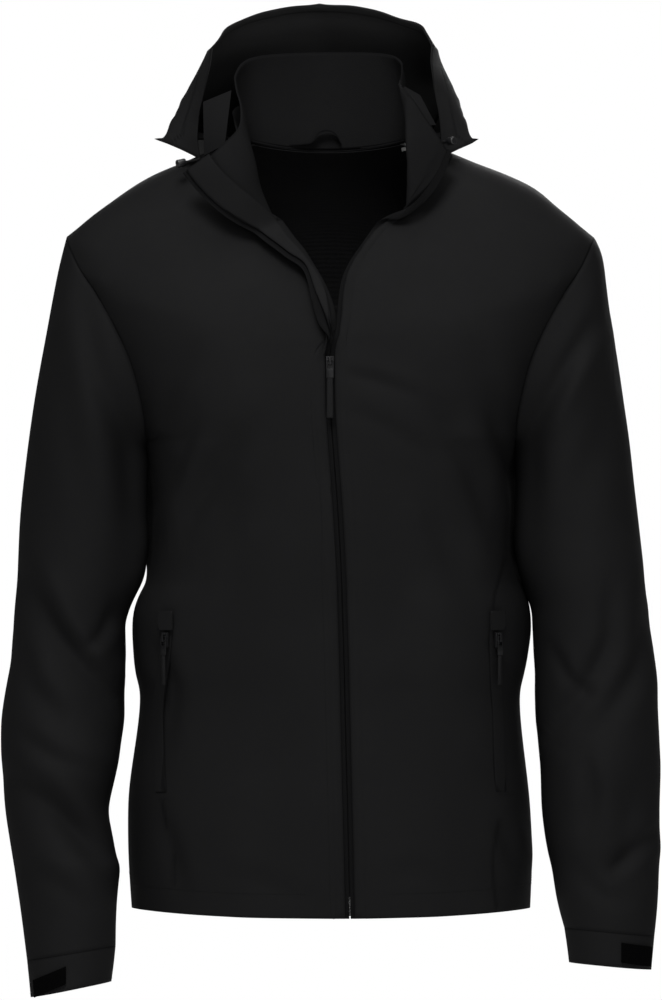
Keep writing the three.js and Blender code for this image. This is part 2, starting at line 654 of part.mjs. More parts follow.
function toSolid(geometry) {
  const merged = geometry.clone();
  merged.deleteAttribute('normal');
  merged.deleteAttribute('uv');
  const closed = mergeVertices(merged);
  return new wasm.Manifold(new wasm.Mesh({
    numProp: 3,
    vertProperties: closed.attributes.position.array,
    triVerts: new Uint32Array(closed.index.array),
  }));
}

function joined(geometries) {
  const solids = geometries.map(toSolid);
  const mesh = solids.slice(1).reduce((sum, solid) => sum.add(solid), solids[0]).getMesh();
  const geometry = new THREE.BufferGeometry();
  geometry.setAttribute('position', new THREE.Float32BufferAttribute(mesh.vertProperties, 3));
  geometry.setIndex([...mesh.triVerts]);
  return geometry;
}

function box(width, depth, height, x, y, z) {
  return new THREE.BoxGeometry(width, depth, height).translate(x, y, z);
}

// A group on the body's front: its -Y points out of the cloth and its +Z up along it.
function frontGroup(x, z, height) {
  const up = frontPoint(x, z + 5, 0).sub(frontPoint(x, z - 5, 0)).normalize();
  const { degrees, section } = bodyPlace(x, z);
  const inwards = bodyNormal(degrees, section).negate();
  const right = inwards.clone().cross(up).normalize();
  const group = new THREE.Group();
  group.applyMatrix4(new THREE.Matrix4().makeBasis(right, up.clone().cross(right), up));
  group.position.copy(frontPoint(x, z, height));
  jacket.add(group);
  return group;
}

const slider = {
  width: 7.6, thickness: 3, length: 14,
  bridge: 2.4, rise: 3.1, strap: 1, foot: 1.4, upperFoot: 5.5, lowerFoot: -1, sunk: 0.2,
};
const pull = { bar: 1, width: 7, arm: 1.2, barY: -2.55, barZ: 3.2, windowLength: 8.4, tabLength: 9 };
const cordShape = { taper: 0.84, flatness: 0.5, sides: 10 };
const frontSlider = { x: -1, centreBelow: 8.5, cordLength: 38, cordWidth: 7 };
const pocketSlider = { centreBelow: 8, cordLength: 28, cordWidth: 6 };

function zipSlider(name, x, z, height, cordLength, cordWidth) {
  const group = frontGroup(x, z, height);
  const face = -slider.thickness / 2;
  const footY = face - slider.rise / 2 + slider.sunk;
  const feet = [slider.upperFoot, slider.lowerFoot].map((footZ) => (
    box(slider.bridge, slider.rise, slider.foot, 0, footY, footZ)
  ));
  const bridgeLength = slider.upperFoot - slider.lowerFoot + slider.foot;
  const bridgeY = face - slider.rise + slider.strap / 2;
  const bridgeZ = (slider.upperFoot + slider.lowerFoot) / 2;
  const bridge = box(slider.bridge, slider.strap, bridgeLength, 0, bridgeY, bridgeZ);
  const body = box(slider.width, slider.thickness, slider.length, 0, 0, 0);
  addPiece(`${name}_slider`, joined([body, bridge, ...feet]), materials.metal, group);

  const side = (pull.width - pull.arm) / 2;
  const armZ = pull.barZ - pull.windowLength / 2;
  const armLength = pull.windowLength + pull.bar;
  const arms = [-side, side].map((armX) => box(pull.arm, pull.bar, armLength, armX, pull.barY, armZ));
  const bar = box(pull.width, pull.bar, pull.bar, 0, pull.barY, pull.barZ);
  const tabTop = pull.barZ - pull.windowLength;
  const tab = box(pull.width, pull.bar, pull.tabLength, 0, pull.barY, tabTop - pull.tabLength / 2);
  addPiece(`${name}_pull`, joined([bar, ...arms, tab]), materials.metal, group);

  const radius = cordWidth / 2;
  const cord = new THREE.CylinderGeometry(cordShape.taper * radius, radius, cordLength, cordShape.sides);
  cord.rotateX(Math.PI / 2).scale(1, cordShape.flatness, 1);
  cord.translate(0, pull.barY, tabTop - pull.tabLength - seamGap - cordLength / 2);
  addPiece(`${name}_cord`, cord, materials.plastic, group);
}

const frontSliderZ = sliderHeight - frontSlider.centreBelow;
zipSlider('front_zip', frontSlider.x, frontSliderZ, 0, frontSlider.cordLength, frontSlider.cordWidth);

// Side pockets: a zip between two narrow welts, closed, with its slider under a small garage

const pocketRows = {
  right: [[-154, -448], [-155, -480], [-160, -515], [-163, -545], [-162, -582], [-160, -618]],
  left: [[155, -448], [154, -480], [155, -515], [157, -545], [158, -582], [160, -618]],
};
const pocketLift = 1.2;
const pocketHalfWidth = 5;
const garage = { length: 18, halfWidth: 6.5, rise: 1 };

for (const [name, side] of [['right', -1], ['left', 1]]) {
  const points = pocketRows[name];
  const lift = pocketLift + trimWall;
  const strip = points.map(([x, z]) => (
    [-pocketHalfWidth, 0, pocketHalfWidth].map((step) => frontPoint(x + side * step, z, lift))
  ));
  addPiece(`pocket_zip_${name}`, wallGeometry(strip, trimWall, side, false, 0), materials.tape);
  const [topX, topZ] = points[0];
  const garageLift = lift + layerGap + shellWall;
  const cover = [0, garage.length].map((down) => (
    [-garage.halfWidth, 0, garage.halfWidth].map((step) => (
      frontPoint(topX + side * step, topZ + garage.rise - down, garageLift)
    ))
  ));
  addPiece(`pocket_garage_${name}`, wallGeometry(cover, shellWall, side, false, 0), materials.shell);
  const sliderZ = topZ - garage.length - pocketSlider.centreBelow;
  const sliderLift = lift + seamGap + slider.thickness / 2;
  zipSlider(`pocket_${name}`, topX, sliderZ, sliderLift, pocketSlider.cordLength, pocketSlider.cordWidth);
}

// Cuff patches

const cuffPatches = {
  right: { from: 30, to: 84, top: 16.42, bottom: 16.93 },
  left: { from: 18, to: 76, top: 16.3, bottom: 16.88 },
};

for (const [name, inwards] of [['right', 1], ['left', -1]]) {
  const patch = cuffPatches[name];
  const rows = [0, 0.5, 1].map((down) => [0, 0.25, 0.5, 0.75, 1].map((round) => {
    const section = THREE.MathUtils.lerp(patch.top, patch.bottom, down);
    const degrees = THREE.MathUtils.lerp(patch.from, patch.to, round);
    return sleevePoint(name, section, degrees);
  }));
  const lifted = offsetGrid(rows, -inwards * (layerGap + trimWall), false);
  addPiece(`cuff_patch_${name}`, wallGeometry(lifted, trimWall, inwards, false, 0), materials.patch);
}

// Lining, hanger loop and label inside the neck

const liningWall = 0.8;
const liningTop = 9;           // rows of the back that the lining covers, from the neck seam down

const lining = offsetGrid(back, -(shellWall + layerGap), false)
  .slice(-liningTop)
  .map((points) => points.slice(1, -1));
addPiece('lining_back', wallGeometry(lining, liningWall, -1, false, 0), materials.lining);

function insideCollar(place, height, depth) {
  const point = collarPoint(place, height);
  const round = collarPoint(place + 0.01, height).sub(collarPoint(place - 0.01, height));
  const up = collarPoint(place, height + 0.01).sub(collarPoint(place, height));
  return point.addScaledVector(round.cross(up).normalize(), depth);
}

const loopStations = [
  { place: -0.15, height: 0.05, depth: 3 },
  { place: -0.1, height: 0.07, depth: 3.4 },
  { place: -0.04, height: 0.13, depth: 6.5 },
  { place: 0.0, height: 0.2, depth: 7.5 },
  { place: 0.04, height: 0.14, depth: 6 },
  { place: 0.07, height: 0.05, depth: 2.8 },
];
const loopHalfHeight = 0.035;  // as a share of the collar's height

const loopGrid = loopStations.map(({ place, height, depth }) => (
  [height - loopHalfHeight, height + loopHalfHeight].map((edge) => insideCollar(place, edge, depth))
));
addPiece('hanger_loop', wallGeometry(loopGrid, trimWall, 1, false, 0), materials.tape);

const label = { place: 0.36, width: 12, height: 10, thickness: 0.6, depth: 2.6 };
const labelTop = insideCollar(label.place, 0.02, label.depth);
const labelRound = seamPoint(label.place + 0.03).sub(seamPoint(label.place - 0.03));
const labelMesh = addPiece(
  'neck_label',
  new THREE.BoxGeometry(label.width, label.thickness, label.height),
  materials.label,
);
labelMesh.position.copy(labelTop).add(new THREE.Vector3(0, 0, -label.height / 2));
labelMesh.rotation.z = Math.atan2(labelRound.y, labelRound.x);

// Hood: arches from its face rim back over the pouch that hangs behind the collar.
// Points are mirrored about hoodCentre. An arch with no end starts from the neck seam at place.
const hoodCentre = -11;
const hoodArches = [
  {
    end: [113, -45, -19], low: [116, -30, 14], side: [111, 2, 66],
    high: [86, 46, 109], middle: [0, 82, 131],
  },
  {
    end: [150, -12, 0], low: [147, 10, 26], side: [128, 42, 66],
    high: [84, 86, 104], middle: [0, 116, 122],
  },
  {
    place: 0.42, low: [118, 18, 8], side: [146, 62, 24],
    high: [92, 130, 70], middle: [0, 154, 88],
  },
  {
    place: 0.34, low: [106, 62, -8], side: [126, 114, -4],
    high: [80, 160, 32], middle: [0, 176, 42],
  },
  {
    place: 0.19, low: [78, 92, -26], side: [94, 146, -36],
    high: [56, 170, -14], middle: [0, 181, -6],
  },
  {
    place: 0.08, low: [40, 99, -44], side: [54, 152, -72],
    high: [34, 165, -64], middle: [0, 170, -58],
  },
  {
    place: 0.004, low: [0.3, 104, -50], side: [0.3, 142, -86],
    high: [0.3, 150, -93], middle: [0.3, 153, -96],
  },
];
const hoodSeam = 0.62;         // where the side panels end, from the neck to the crown
const hoodNeckGap = 5.2;
const sideSteps = [0, 0.16, 0.32, 0.47, hoodSeam];
const crownSteps = [hoodSeam, 0.75, 0.88, 1];

function hoodEnd(arch, side) {
  if (arch.end) return new THREE.Vector3(hoodCentre + side * arch.end[0], arch.end[1], arch.end[2]);
  return insideCollar(side * arch.place, 0.04, -hoodNeckGap);
}

function hoodPoint(arch, side, t) {
  const mirrored = ['low', 'side', 'high', 'middle'].map((name) => (
    [hoodCentre + side * arch[name][0], arch[name][1], arch[name][2]]
  ));
  const points = [hoodEnd(arch, side).toArray(), ...mirrored];
  return new THREE.Vector3(...[0, 1, 2].map((axis) => between(points.map((point) => point[axis]), 4 * t)));
}

for (const [name, side] of [['right', -1], ['left', 1]]) {
  const grid = hoodArches.map((arch) => sideSteps.map((t) => hoodPoint(arch, side, t)));
  addPiece(`hood_side_${name}`, wallGeometry(grid, shellWall, side), materials.shell);
}

const crown = hoodArches.map((arch) => [
  ...crownSteps.map((t) => hoodPoint(arch, -1, t)),
  ...crownSteps.slice(0, -1).reverse().map((t) => hoodPoint(arch, 1, t)),
]);
addPiece('hood_crown', wallGeometry(crown, shellWall, -1), materials.shell);

// The band that joins the hood to the neck stands up outside the collar.
const bandEnd = 0.66;
const bandPlaces = seamPlaces.filter((place) => Math.abs(place) < bandEnd);
const band = [0.04, 0.22, 0.45].map((height) => bandPlaces.map((place) => (
  insideCollar(place, height, -(0.9 + 30 * height * height))
)));
addPiece('hood_band', wallGeometry(band, shellWall, -1, false, 0), materials.shell);

// Hood drawcord ends and their cord locks
const cordLocks = {
  right: { lock: [-142, -53, -23], rim: 0, side: -1 },
  left: { lock: [114, -50, -2], rim: 0.13, side: 1 },
};
const cordRadius = 1.5;
const cordRimGap = 0.8;
const lockRadius = 4;
const lockLength = 9;

for (const name of ['right', 'left']) {
  const rim = hoodPoint(hoodArches[0], cordLocks[name].side, cordLocks[name].rim);
  const lock = new THREE.Vector3(...cordLocks[name].lock);
  const along = lock.clone().sub(rim).normalize();
  const from = rim.addScaledVector(along, cordRimGap);
  const reach = lock.distanceTo(from) - lockLength / 2 - seamGap;
  const turned = new THREE.Quaternion().setFromUnitVectors(new THREE.Vector3(0, 1, 0), along);
  const cord = new THREE.CylinderGeometry(cordRadius, cordRadius, reach, 8);
  const cordMesh = addPiece(`hood_cord_${name}`, cord, materials.tape);
  cordMesh.position.copy(from).addScaledVector(along, reach / 2);
  cordMesh.quaternion.copy(turned);
  const barrel = new THREE.CylinderGeometry(lockRadius, lockRadius, lockLength, 14);
  const lockMesh = addPiece(`cord_lock_${name}`, barrel, materials.plastic);
  lockMesh.position.copy(lock);
  lockMesh.quaternion.copy(turned);
}

export default jacket;
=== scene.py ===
import json
import math
import bmesh
import bpy
import numpy as np
from mathutils import Matrix, Vector
from mathutils.bvhtree import BVHTree
from mathutils.kdtree import KDTree


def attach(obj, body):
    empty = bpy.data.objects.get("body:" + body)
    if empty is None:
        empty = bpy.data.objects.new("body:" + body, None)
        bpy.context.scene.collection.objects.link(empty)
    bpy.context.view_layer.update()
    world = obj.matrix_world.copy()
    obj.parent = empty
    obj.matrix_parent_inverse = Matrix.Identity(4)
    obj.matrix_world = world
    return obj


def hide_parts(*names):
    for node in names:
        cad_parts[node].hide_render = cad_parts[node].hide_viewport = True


# A hooded softshell jacket, worn open at the neck. Metres, +Z up, the front faces -Y.
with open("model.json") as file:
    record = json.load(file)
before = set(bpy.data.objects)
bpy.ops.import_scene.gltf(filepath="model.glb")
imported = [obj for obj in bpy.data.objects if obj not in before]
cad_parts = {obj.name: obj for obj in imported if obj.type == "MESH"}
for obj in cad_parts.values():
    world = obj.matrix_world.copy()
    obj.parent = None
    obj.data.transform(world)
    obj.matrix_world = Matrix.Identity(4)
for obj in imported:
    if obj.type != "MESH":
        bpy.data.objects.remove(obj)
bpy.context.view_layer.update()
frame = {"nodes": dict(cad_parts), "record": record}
nodes = frame["nodes"]
mm = 0.001
print("frame loaded", len(nodes), "nodes")


# Materials

class Wire:                                       # a shader value that adds Math nodes when it is reckoned with
    def __init__(self, tree, socket):
        self.tree = tree
        self.socket = socket

    def maths(self, operation, other=None, turned=False):
        node = self.tree.nodes.new("ShaderNodeMath")
        node.operation = operation
        values = [self] if other is None else [other, self] if turned else [self, other]
        for place, value in enumerate(values):
            if isinstance(value, Wire):
                self.tree.links.new(value.socket, node.inputs[place])
            else:
                node.inputs[place].default_value = value
        return Wire(self.tree, node.outputs[0])

    def __add__(self, other):
        return self.maths("ADD", other)

    def __radd__(self, other):
        return self.maths("ADD", other)

    def __sub__(self, other):
        return self.maths("SUBTRACT", other)

    def __rsub__(self, other):
        return self.maths("SUBTRACT", other, True)

    def __mul__(self, other):
        return self.maths("MULTIPLY", other)

    def __truediv__(self, other):
        return self.maths("DIVIDE", other)

    def __neg__(self):
        return self.maths("MULTIPLY", -1.0)


class Finish:                                     # a material and its nodes
    def __init__(self, name, colour, **fixed):
        self.material = bpy.data.materials.new(name)
        self.material.use_nodes = True
        self.material.diffuse_color = (*colour, 1)
        self.tree = self.material.node_tree
        self.shader = next(n for n in self.tree.nodes if n.type == "BSDF_PRINCIPLED")
        self.shader.inputs["Base Color"].default_value = (*colour, 1)
        for key, value in fixed.items():
            self.shader.inputs[key.replace("_", " ")].default_value = value

    def node(self, kind, settings=None, inputs=None):
        node = self.tree.nodes.new(kind)
        for key, value in (settings or {}).items():
            setattr(node, key, value)
        for key, value in (inputs or {}).items():
            if isinstance(value, Wire):
                self.tree.links.new(value.socket, node.inputs[key])
            else:
                node.inputs[key].default_value = value
        return node

    def wire(self, node, output=0):
        return Wire(self.tree, node.outputs[output])

    def place(self):
        return self.wire(self.node("ShaderNodeTexCoord"), "Object")

    def parts(self, vector):
        split = self.node("ShaderNodeSeparateXYZ", inputs={"Vector": vector})
        return [self.wire(split, n) for n in range(3)]

    def noise(self, scale, detail=2.0, roughness=0.5):
        values = {"Vector": self.place(), "Scale": scale, "Detail": detail, "Roughness": roughness}
        return self.wire(self.node("ShaderNodeTexNoise", inputs=values), "Fac")

    def attribute(self, name):
        return self.wire(self.node("ShaderNodeAttribute", {"attribute_name": name}), "Fac")

    def blend(self, factor, first, second):
        node = self.node("ShaderNodeMix", {"data_type": "RGBA"})
        self.tree.links.new(factor.socket, node.inputs["Factor"])
        for key, value in ((6, first), (7, second)):
            if isinstance(value, Wire):
                self.tree.links.new(value.socket, node.inputs[key])
            else:
                node.inputs[key].default_value = (*value, 1)
        return Wire(self.tree, node.outputs[2])

    def weave(self, thread):                      # plain weave on the three planes, mixed by the normal
        wave = 2 * math.pi / thread
        x, y, z = [(value * wave).maths("SINE") for value in self.parts(self.place())]
        normal = self.parts(self.wire(self.node("ShaderNodeNewGeometry"), "Normal"))
        nx, ny, nz = [value * value for value in normal]
        return x * z * ny + y * z * nx + x * y * nz

    def feed(self, key, value):
        self.tree.links.new(value.socket, self.shader.inputs[key])

    def raiseBy(self, height):                   # height in metres
        bump = self.node("ShaderNodeBump", inputs={"Height": height, "Distance": 1.0, "Strength": 1.0})
        self.feed("Normal", self.wire(bump))


shellLook = {
    "colour": (0.0058, 0.0058, 0.006),
    "worn": (0.0084, 0.0084, 0.0086),             # paler where the cloth is rubbed
    "backing": (0.005, 0.005, 0.0052),            # the inner face
    "paintedHoodLight": (0.034, 0.034, 0.0345),                # painted light: the inner face of the hood, paler towards its top
    "paintedSeamShade": (0.0016, 0.0016, 0.0018),          # painted shade in seams and pressed lines
    "thread": 0.9 * mm,
    "weaveHeight": 0.035 * mm,
    "grainHeight": 0.12 * mm,
    "seamDepth": 0.5 * mm,
    "seamWidth": 1.3 * mm,
    "roughness": 0.74,
    "specular": 0.045,
}


def shellFinish():
    look = shellLook
    finish = Finish("softshell", look["colour"], Specular_IOR_Level=look["specular"])
    cloud = finish.noise(9.0, 3.0)
    fine = finish.noise(900.0, 2.0, 0.6)
    grain = finish.noise(160.0, 3.0, 0.6)
    weave = finish.weave(look["thread"])
    seam = finish.attribute("seam")
    # a groove and painted shade along each panel's edge
    near = (-(seam * seam) / look["seamWidth"] ** 2).maths("EXPONENT")
    inside = finish.attribute("inside")
    rubbed = (cloud - 0.45) * 1.6 + (weave * 0.16) + (fine - 0.5) * 0.5
    rubbed = rubbed.maths("MAXIMUM", 0.0).maths("MINIMUM", 1.0)
    colour = finish.blend(rubbed, look["colour"], look["worn"])
    # painted light: the hood's inner face is blended towards a much paler colour higher up
    backing = finish.blend(finish.attribute("pale"), look["backing"], look["paintedHoodLight"])
    colour = finish.blend(inside, colour, backing)
    line = finish.attribute("line")
    # painted shade: seams and pressed lines are darkened
    colour = finish.blend((near * 0.5).maths("MAXIMUM", line * 0.55), colour, look["paintedSeamShade"])
    finish.feed("Base Color", colour)
    finish.feed("Roughness", (grain - 0.5) * 0.16 + (weave * 0.03) + look["roughness"] + inside * 0.14)
    height = weave * look["weaveHeight"] * (1.0 - inside) + (grain - 0.5) * look["grainHeight"]
    finish.raiseBy(height - (near + line) * look["seamDepth"] + (fine - 0.5) * 0.06 * mm * (inside * 4.0 + 1.0))
    return finish.material


def meshFinish():                                 # the dark mesh lining, with small round holes that are sunk and darkened with painted shade
    finish = Finish("meshLining", (0.006, 0.006, 0.0062), Specular_IOR_Level=0.02)
    holes = {"Vector": finish.place(), "Scale": 900.0, "Randomness": 0.35}
    cell = finish.wire(finish.node("ShaderNodeTexVoronoi", inputs=holes), "Distance")
    hole = ((0.42 - cell) * 9.0).maths("MAXIMUM", 0.0).maths("MINIMUM", 1.0)
    soft = finish.noise(14.0, 2.0)
    colour = finish.blend(soft, (0.0044, 0.0044, 0.0046), (0.009, 0.009, 0.0093))
    # painted shade in the holes
    finish.feed("Base Color", finish.blend(hole, colour, (0.002, 0.002, 0.0021)))
    finish.feed("Roughness", 0.92 - soft * 0.1)
    finish.raiseBy((-hole) * 0.12 * mm)
    return finish.material


def tapeFinish():                                 # woven herringbone tape
    finish = Finish("zipTape", (0.004, 0.004, 0.0042), Specular_IOR_Level=0.05)
    x, y, z = finish.parts(finish.place())
    across = ((x + y) * (2 * math.pi / (2.6 * mm))).maths("SINE").maths("ABSOLUTE") * 1.6 * mm
    rib = ((z + across) * (2 * math.pi / (0.8 * mm))).maths("SINE")
    fine = finish.noise(700.0)
    colour = finish.blend(rib * 0.25 + fine * 0.5, (0.0026, 0.0026, 0.0028), (0.006, 0.006, 0.0062))
    finish.feed("Base Color", colour)
    finish.feed("Roughness", 0.62 + fine * 0.2)
    finish.raiseBy(rib * 0.05 * mm + (fine - 0.5) * 0.05 * mm)
    return finish.material


def patchFinish():                                # hook-and-loop pile
    finish = Finish("hookPatch", (0.001, 0.001, 0.0011), Specular_IOR_Level=0.01)
    fuzz = finish.noise(1500.0, 4.0, 0.75)
    rows = {"Vector": finish.place(), "Scale": 650.0, "Randomness": 0.5}
    hook = finish.wire(finish.node("ShaderNodeTexVoronoi", inputs=rows), "Distance")
    finish.feed("Base Color", finish.blend(fuzz, (0.0005, 0.0005, 0.0005), (0.0018, 0.0018, 0.0019)))
    finish.feed("Roughness", 0.85 + fuzz * 0.12)
    finish.raiseBy((fuzz - 0.5) * 0.5 * mm - hook * 0.4 * mm)
    return finish.material


def plasticFinish():                              # moulded cord grips and cord locks
    finish = Finish("blackPlastic", (0.006, 0.006, 0.0065), Specular_IOR_Level=0.32)
    haze = finish.noise(220.0, 3.0)
    mould = finish.noise(1300.0, 2.0)
    finish.feed("Base Color", finish.blend(haze, (0.004, 0.004, 0.0045), (0.009, 0.009, 0.0095)))
    finish.feed("Roughness", 0.24 + haze * 0.22)
    finish.raiseBy((mould - 0.5) * 0.03 * mm)
    return finish.material


def metalFinish():                                # black enamelled zip metal, rubbed paler in random patches
    finish = Finish("blackZipMetal", (0.007, 0.007, 0.0074), Specular_IOR_Level=0.12, Metallic=0.1)
    haze = finish.noise(260.0, 4.0)
    speck = finish.noise(1800.0, 2.0)
    rubbed = ((haze - 0.62) * 6.0).maths("MAXIMUM", 0.0).maths("MINIMUM", 1.0)
    finish.feed("Base Color", finish.blend(rubbed, (0.006, 0.006, 0.0064), (0.02, 0.02, 0.021)))
    finish.feed("Roughness", 0.3 + speck * 0.18)
    finish.raiseBy((speck - 0.5) * 0.02 * mm)
    return finish.material


def cordFinish():                                 # braided cord
    finish = Finish("braidedCord", (0.004, 0.004, 0.0042), Specular_IOR_Level=0.12)
    x, y, z = finish.parts(finish.place())
    wave = 2 * math.pi / (1.1 * mm)
    braid = ((x + z) * wave).maths("SINE") * ((x - z) * wave).maths("SINE")
    fine = finish.noise(1100.0)
    colour = finish.blend(braid * 0.3 + fine * 0.6, (0.0022, 0.0022, 0.0024), (0.0066, 0.0066, 0.007))
    finish.feed("Base Color", colour)
    finish.feed("Roughness", 0.55 + fine * 0.2)
    finish.raiseBy(braid * 0.12 * mm)
    return finish.material


def labelFinish():                                # blank satin label
    finish = Finish("blankLabel", (0.5, 0.5, 0.49), Specular_IOR_Level=0.2)
    fine = finish.noise(600.0)
    weave = finish.weave(0.5 * mm)
    finish.feed("Base Color", finish.blend(fine, (0.44, 0.44, 0.43), (0.58, 0.58, 0.57)))
    finish.feed("Roughness", 0.55 + fine * 0.15)
    finish.raiseBy(weave * 0.03 * mm)
    return finish.material


def threadFinish():
    finish = Finish("sewingThread", (0.004, 0.004, 0.0042), Specular_IOR_Level=0.08)
    fine = finish.noise(2500.0)
    finish.feed("Base Color", finish.blend(fine, (0.0028, 0.0028, 0.003), (0.0062, 0.0062, 0.0064)))
    finish.feed("Roughness", 0.5 + fine * 0.2)
    return finish.material


finishes = {
    "shell": shellFinish(),
    "lining": meshFinish(),
    "tape": tapeFinish(),
    "patch": patchFinish(),
    "plastic": plasticFinish(),
    "metal": metalFinish(),
    "cord": cordFinish(),
    "label": labelFinish(),
    "thread": threadFinish(),
}
slotOf = {part["node"]: part["material_slot"] for part in frame["record"]["subparts"]}
for node in nodes.values():                       # a carried node keeps its shape and gets the real finish
    node.data.materials.clear()
    node.data.materials.append(finishes[slotOf[node.name]])
print("materials made")


# Cloth walls, made finer from the solids' own form

clothAngle = 42                                   # degrees from which an edge of cloth shows as an edge


def meshFrom(form, name, sharpFrom=None):         # ends a bmesh form, smooth up to an angle in degrees
    mesh = bpy.data.meshes.new(name)
    form.to_mesh(mesh)
    form.free()
    if sharpFrom:
        smoothUpTo(mesh, sharpFrom)
    return mesh


def smoothUpTo(mesh, angle):
    mesh.shade_smooth()
    mesh.set_sharp_from_angle(angle=math.radians(angle))


def addObject(name, mesh, finish):
    piece = bpy.data.objects.new(name, mesh)
    bpy.context.scene.collection.objects.link(piece)
    mesh.materials.clear()
    mesh.materials.append(finishes[finish])
    return piece


def coarseCopy(node):
    form = bmesh.new()
    form.from_mesh(nodes[node].data)
    bmesh.ops.remove_doubles(form, verts=form.verts, dist=0.02 * mm)
    bmesh.ops.join_triangles(
        form, faces=form.faces, angle_face_threshold=math.radians(50), angle_shape_threshold=math.radians(85))
    return form


def markRim(form, wall, outwards=None):           # finds the narrow faces round a cloth wall, which stay crisp
    crease = form.edges.layers.float.new("crease_edge")
    border = form.verts.layers.float.new("border")
    inner = form.verts.layers.float.new("inside")
    waiting = set(form.faces)
    for face in form.faces:
        lengths = [edge.calc_length() for edge in face.edges]
        if min(lengths) < wall:
            waiting.discard(face)
        if len(lengths) != 4:
            continue
        short = [n for n in range(4) if lengths[n] < wall and lengths[(n + 2) % 4] < wall]
        if len(short) != 2:
            continue
        middle = face.calc_center_median()
        if outwards is outOfBody and abs(middle.x) > 0.12 and \
                abs(face.normal.dot(Vector(outOfBody(np.array([middle[:]]))[0]))) > 0.85:
            continue                              # a narrow strip of the panel itself
        for n, edge in enumerate(face.edges):
            if n not in short:
                edge[crease] = 1.0
        for vertex in face.verts:
            vertex[border] = 1.0
    for edge in form.edges:                       # corners of a wall
        if edge.calc_length() < wall and edge.verts[0][border] and edge.verts[1][border]:
            if edge.calc_face_angle(0) > math.radians(40):
                edge[crease] = 1.0
    while outwards and waiting:                   # the two sides of the wall are parted by its rim
        side, reached = [waiting.pop()], []
        while side:
            face = side.pop()
            reached.append(face)
            for edge in face.edges:
                for other in edge.link_faces:
                    if other in waiting:
                        waiting.discard(other)
                        side.append(other)
        out = outwards(np.array([face.calc_center_median()[:] for face in reached]))
        facing = sum(face.normal.dot(Vector(way)) * face.calc_area() for face, way in zip(reached, out))
        for face in reached:
            for vertex in face.verts:
                vertex[inner] = 1.0 if facing < 0 else 0.0


def points(mesh):
    values = np.zeros(len(mesh.vertices) * 3)
    mesh.vertices.foreach_get("co", values)
    return values.reshape(-1, 3)


def normals(mesh):
    values = np.zeros(len(mesh.vertices) * 3)
    mesh.vertex_normals.foreach_get("vector", values)
    return values.reshape(-1, 3)


def setPoints(mesh, values):
    mesh.vertices.foreach_set("co", values.ravel())
    mesh.update()


def setAttribute(mesh, name, values):
    layer = mesh.attributes.get(name) or mesh.attributes.new(name, "FLOAT", "POINT")
    layer.data.foreach_set("value", np.asarray(values, dtype=float))


def getAttribute(mesh, name):
    values = np.zeros(len(mesh.vertices))
    mesh.attributes[name].data.foreach_get("value", values)
    return values


def onBorder(mesh):                               # which points lie on the rim of a wall
    return getAttribute(mesh, "border") > 0.995


def onInside(mesh):                               # and which on its inner face
    return getAttribute(mesh, "inside") > 0.5


def treeOf(targets):
    tree = KDTree(len(targets))
    for n, target in enumerate(targets):
        tree.insert(target, n)
    tree.balance()
    return tree


def distanceTo(targets, where):                   # from every point to the nearest target
    tree = treeOf(targets)
    return np.array([tree.find(point)[2] for point in where])


def evaluated(cage):
    graph = bpy.context.evaluated_depsgraph_get()
    return bpy.data.meshes.new_from_object(cage.evaluated_get(graph))


def cutOnce(form, wall):                          # keeps a coarse form's straight runs straight
    long = [edge for edge in form.edges if edge.calc_length() > wall]
    bmesh.ops.subdivide_edges(form, edges=long, cuts=1, use_grid_fill=True)


def finerMesh(name, form, levels):                # a smooth surface through the solid's own points
    mesh = meshFrom(form, name + "Cage")
    cage = bpy.data.objects.new(name + "Cage", mesh)
    bpy.context.scene.collection.objects.link(cage)
    modifier = cage.modifiers.new("Subdivision", "SUBSURF")
    modifier.use_limit_surface = True
    modifier.levels = modifier.render_levels = 1
    wanted = points(mesh)
    for _ in range(4):                            # moves the cage out until the smooth form meets them
        trial = evaluated(cage)
        setPoints(mesh, points(mesh) + (wanted - points(trial)[:len(wanted)]) * 0.95)
        bpy.data.meshes.remove(trial)
    modifier.levels = modifier.render_levels = levels
    fine = evaluated(cage)
    print(name, "off the solid by", round(abs(points(fine)[:len(wanted)] - wanted).max() / mm, 3), "mm")
    fine.name = name
    bpy.data.objects.remove(cage)
    bpy.data.meshes.remove(mesh)
    return fine


# The way that points out of the cloth, the same for both faces of a wall

def unit(vectors):
    return vectors / np.maximum(np.linalg.norm(vectors, axis=1, keepdims=True), 1e-9)


def outOfBody(where):
    up = np.maximum(where[:, 2] + 0.30, 0) / 0.30 ** 2
    return unit(np.column_stack([where[:, 0] / 0.19 ** 2, where[:, 1] / 0.135 ** 2, up]))


sleeveAxes = {                                    # x, y, z down the middle of each sleeve, in mm
    "right": [(-214, 0, -190), (-229, 1, -274), (-240, 2, -395), (-248, -3, -468), (-254, -14, -549),
              (-260, -28, -635), (-250, -38, -697), (-246, -52, -806)],
    "left": [(212, 0, -190), (227, 1, -273), (237, 2, -391), (247, -3, -463), (252, -14, -552),
             (256, -26, -634), (260, -35, -697), (264, -47, -784)],
}


def outOfSleeve(side):
    def direction(where):
        axis = np.array(sleeveAxes[side]) * mm
        heights = axis[::-1, 2]
        x = np.interp(where[:, 2], heights, axis[::-1, 0])
        y = np.interp(where[:, 2], heights, axis[::-1, 1])
        return unit(np.column_stack([where[:, 0] - x, where[:, 1] - y, np.zeros(len(where))]))
    return direction


def outOfPoint(centre):
    def direction(where):
        return unit(where - np.array(centre) * mm)
    return direction


# Creases: points are x and z in mm as seen from the front, width and depth are in mm,
# beside is the soft ridge that runs along one side of a trough, as a share of its depth

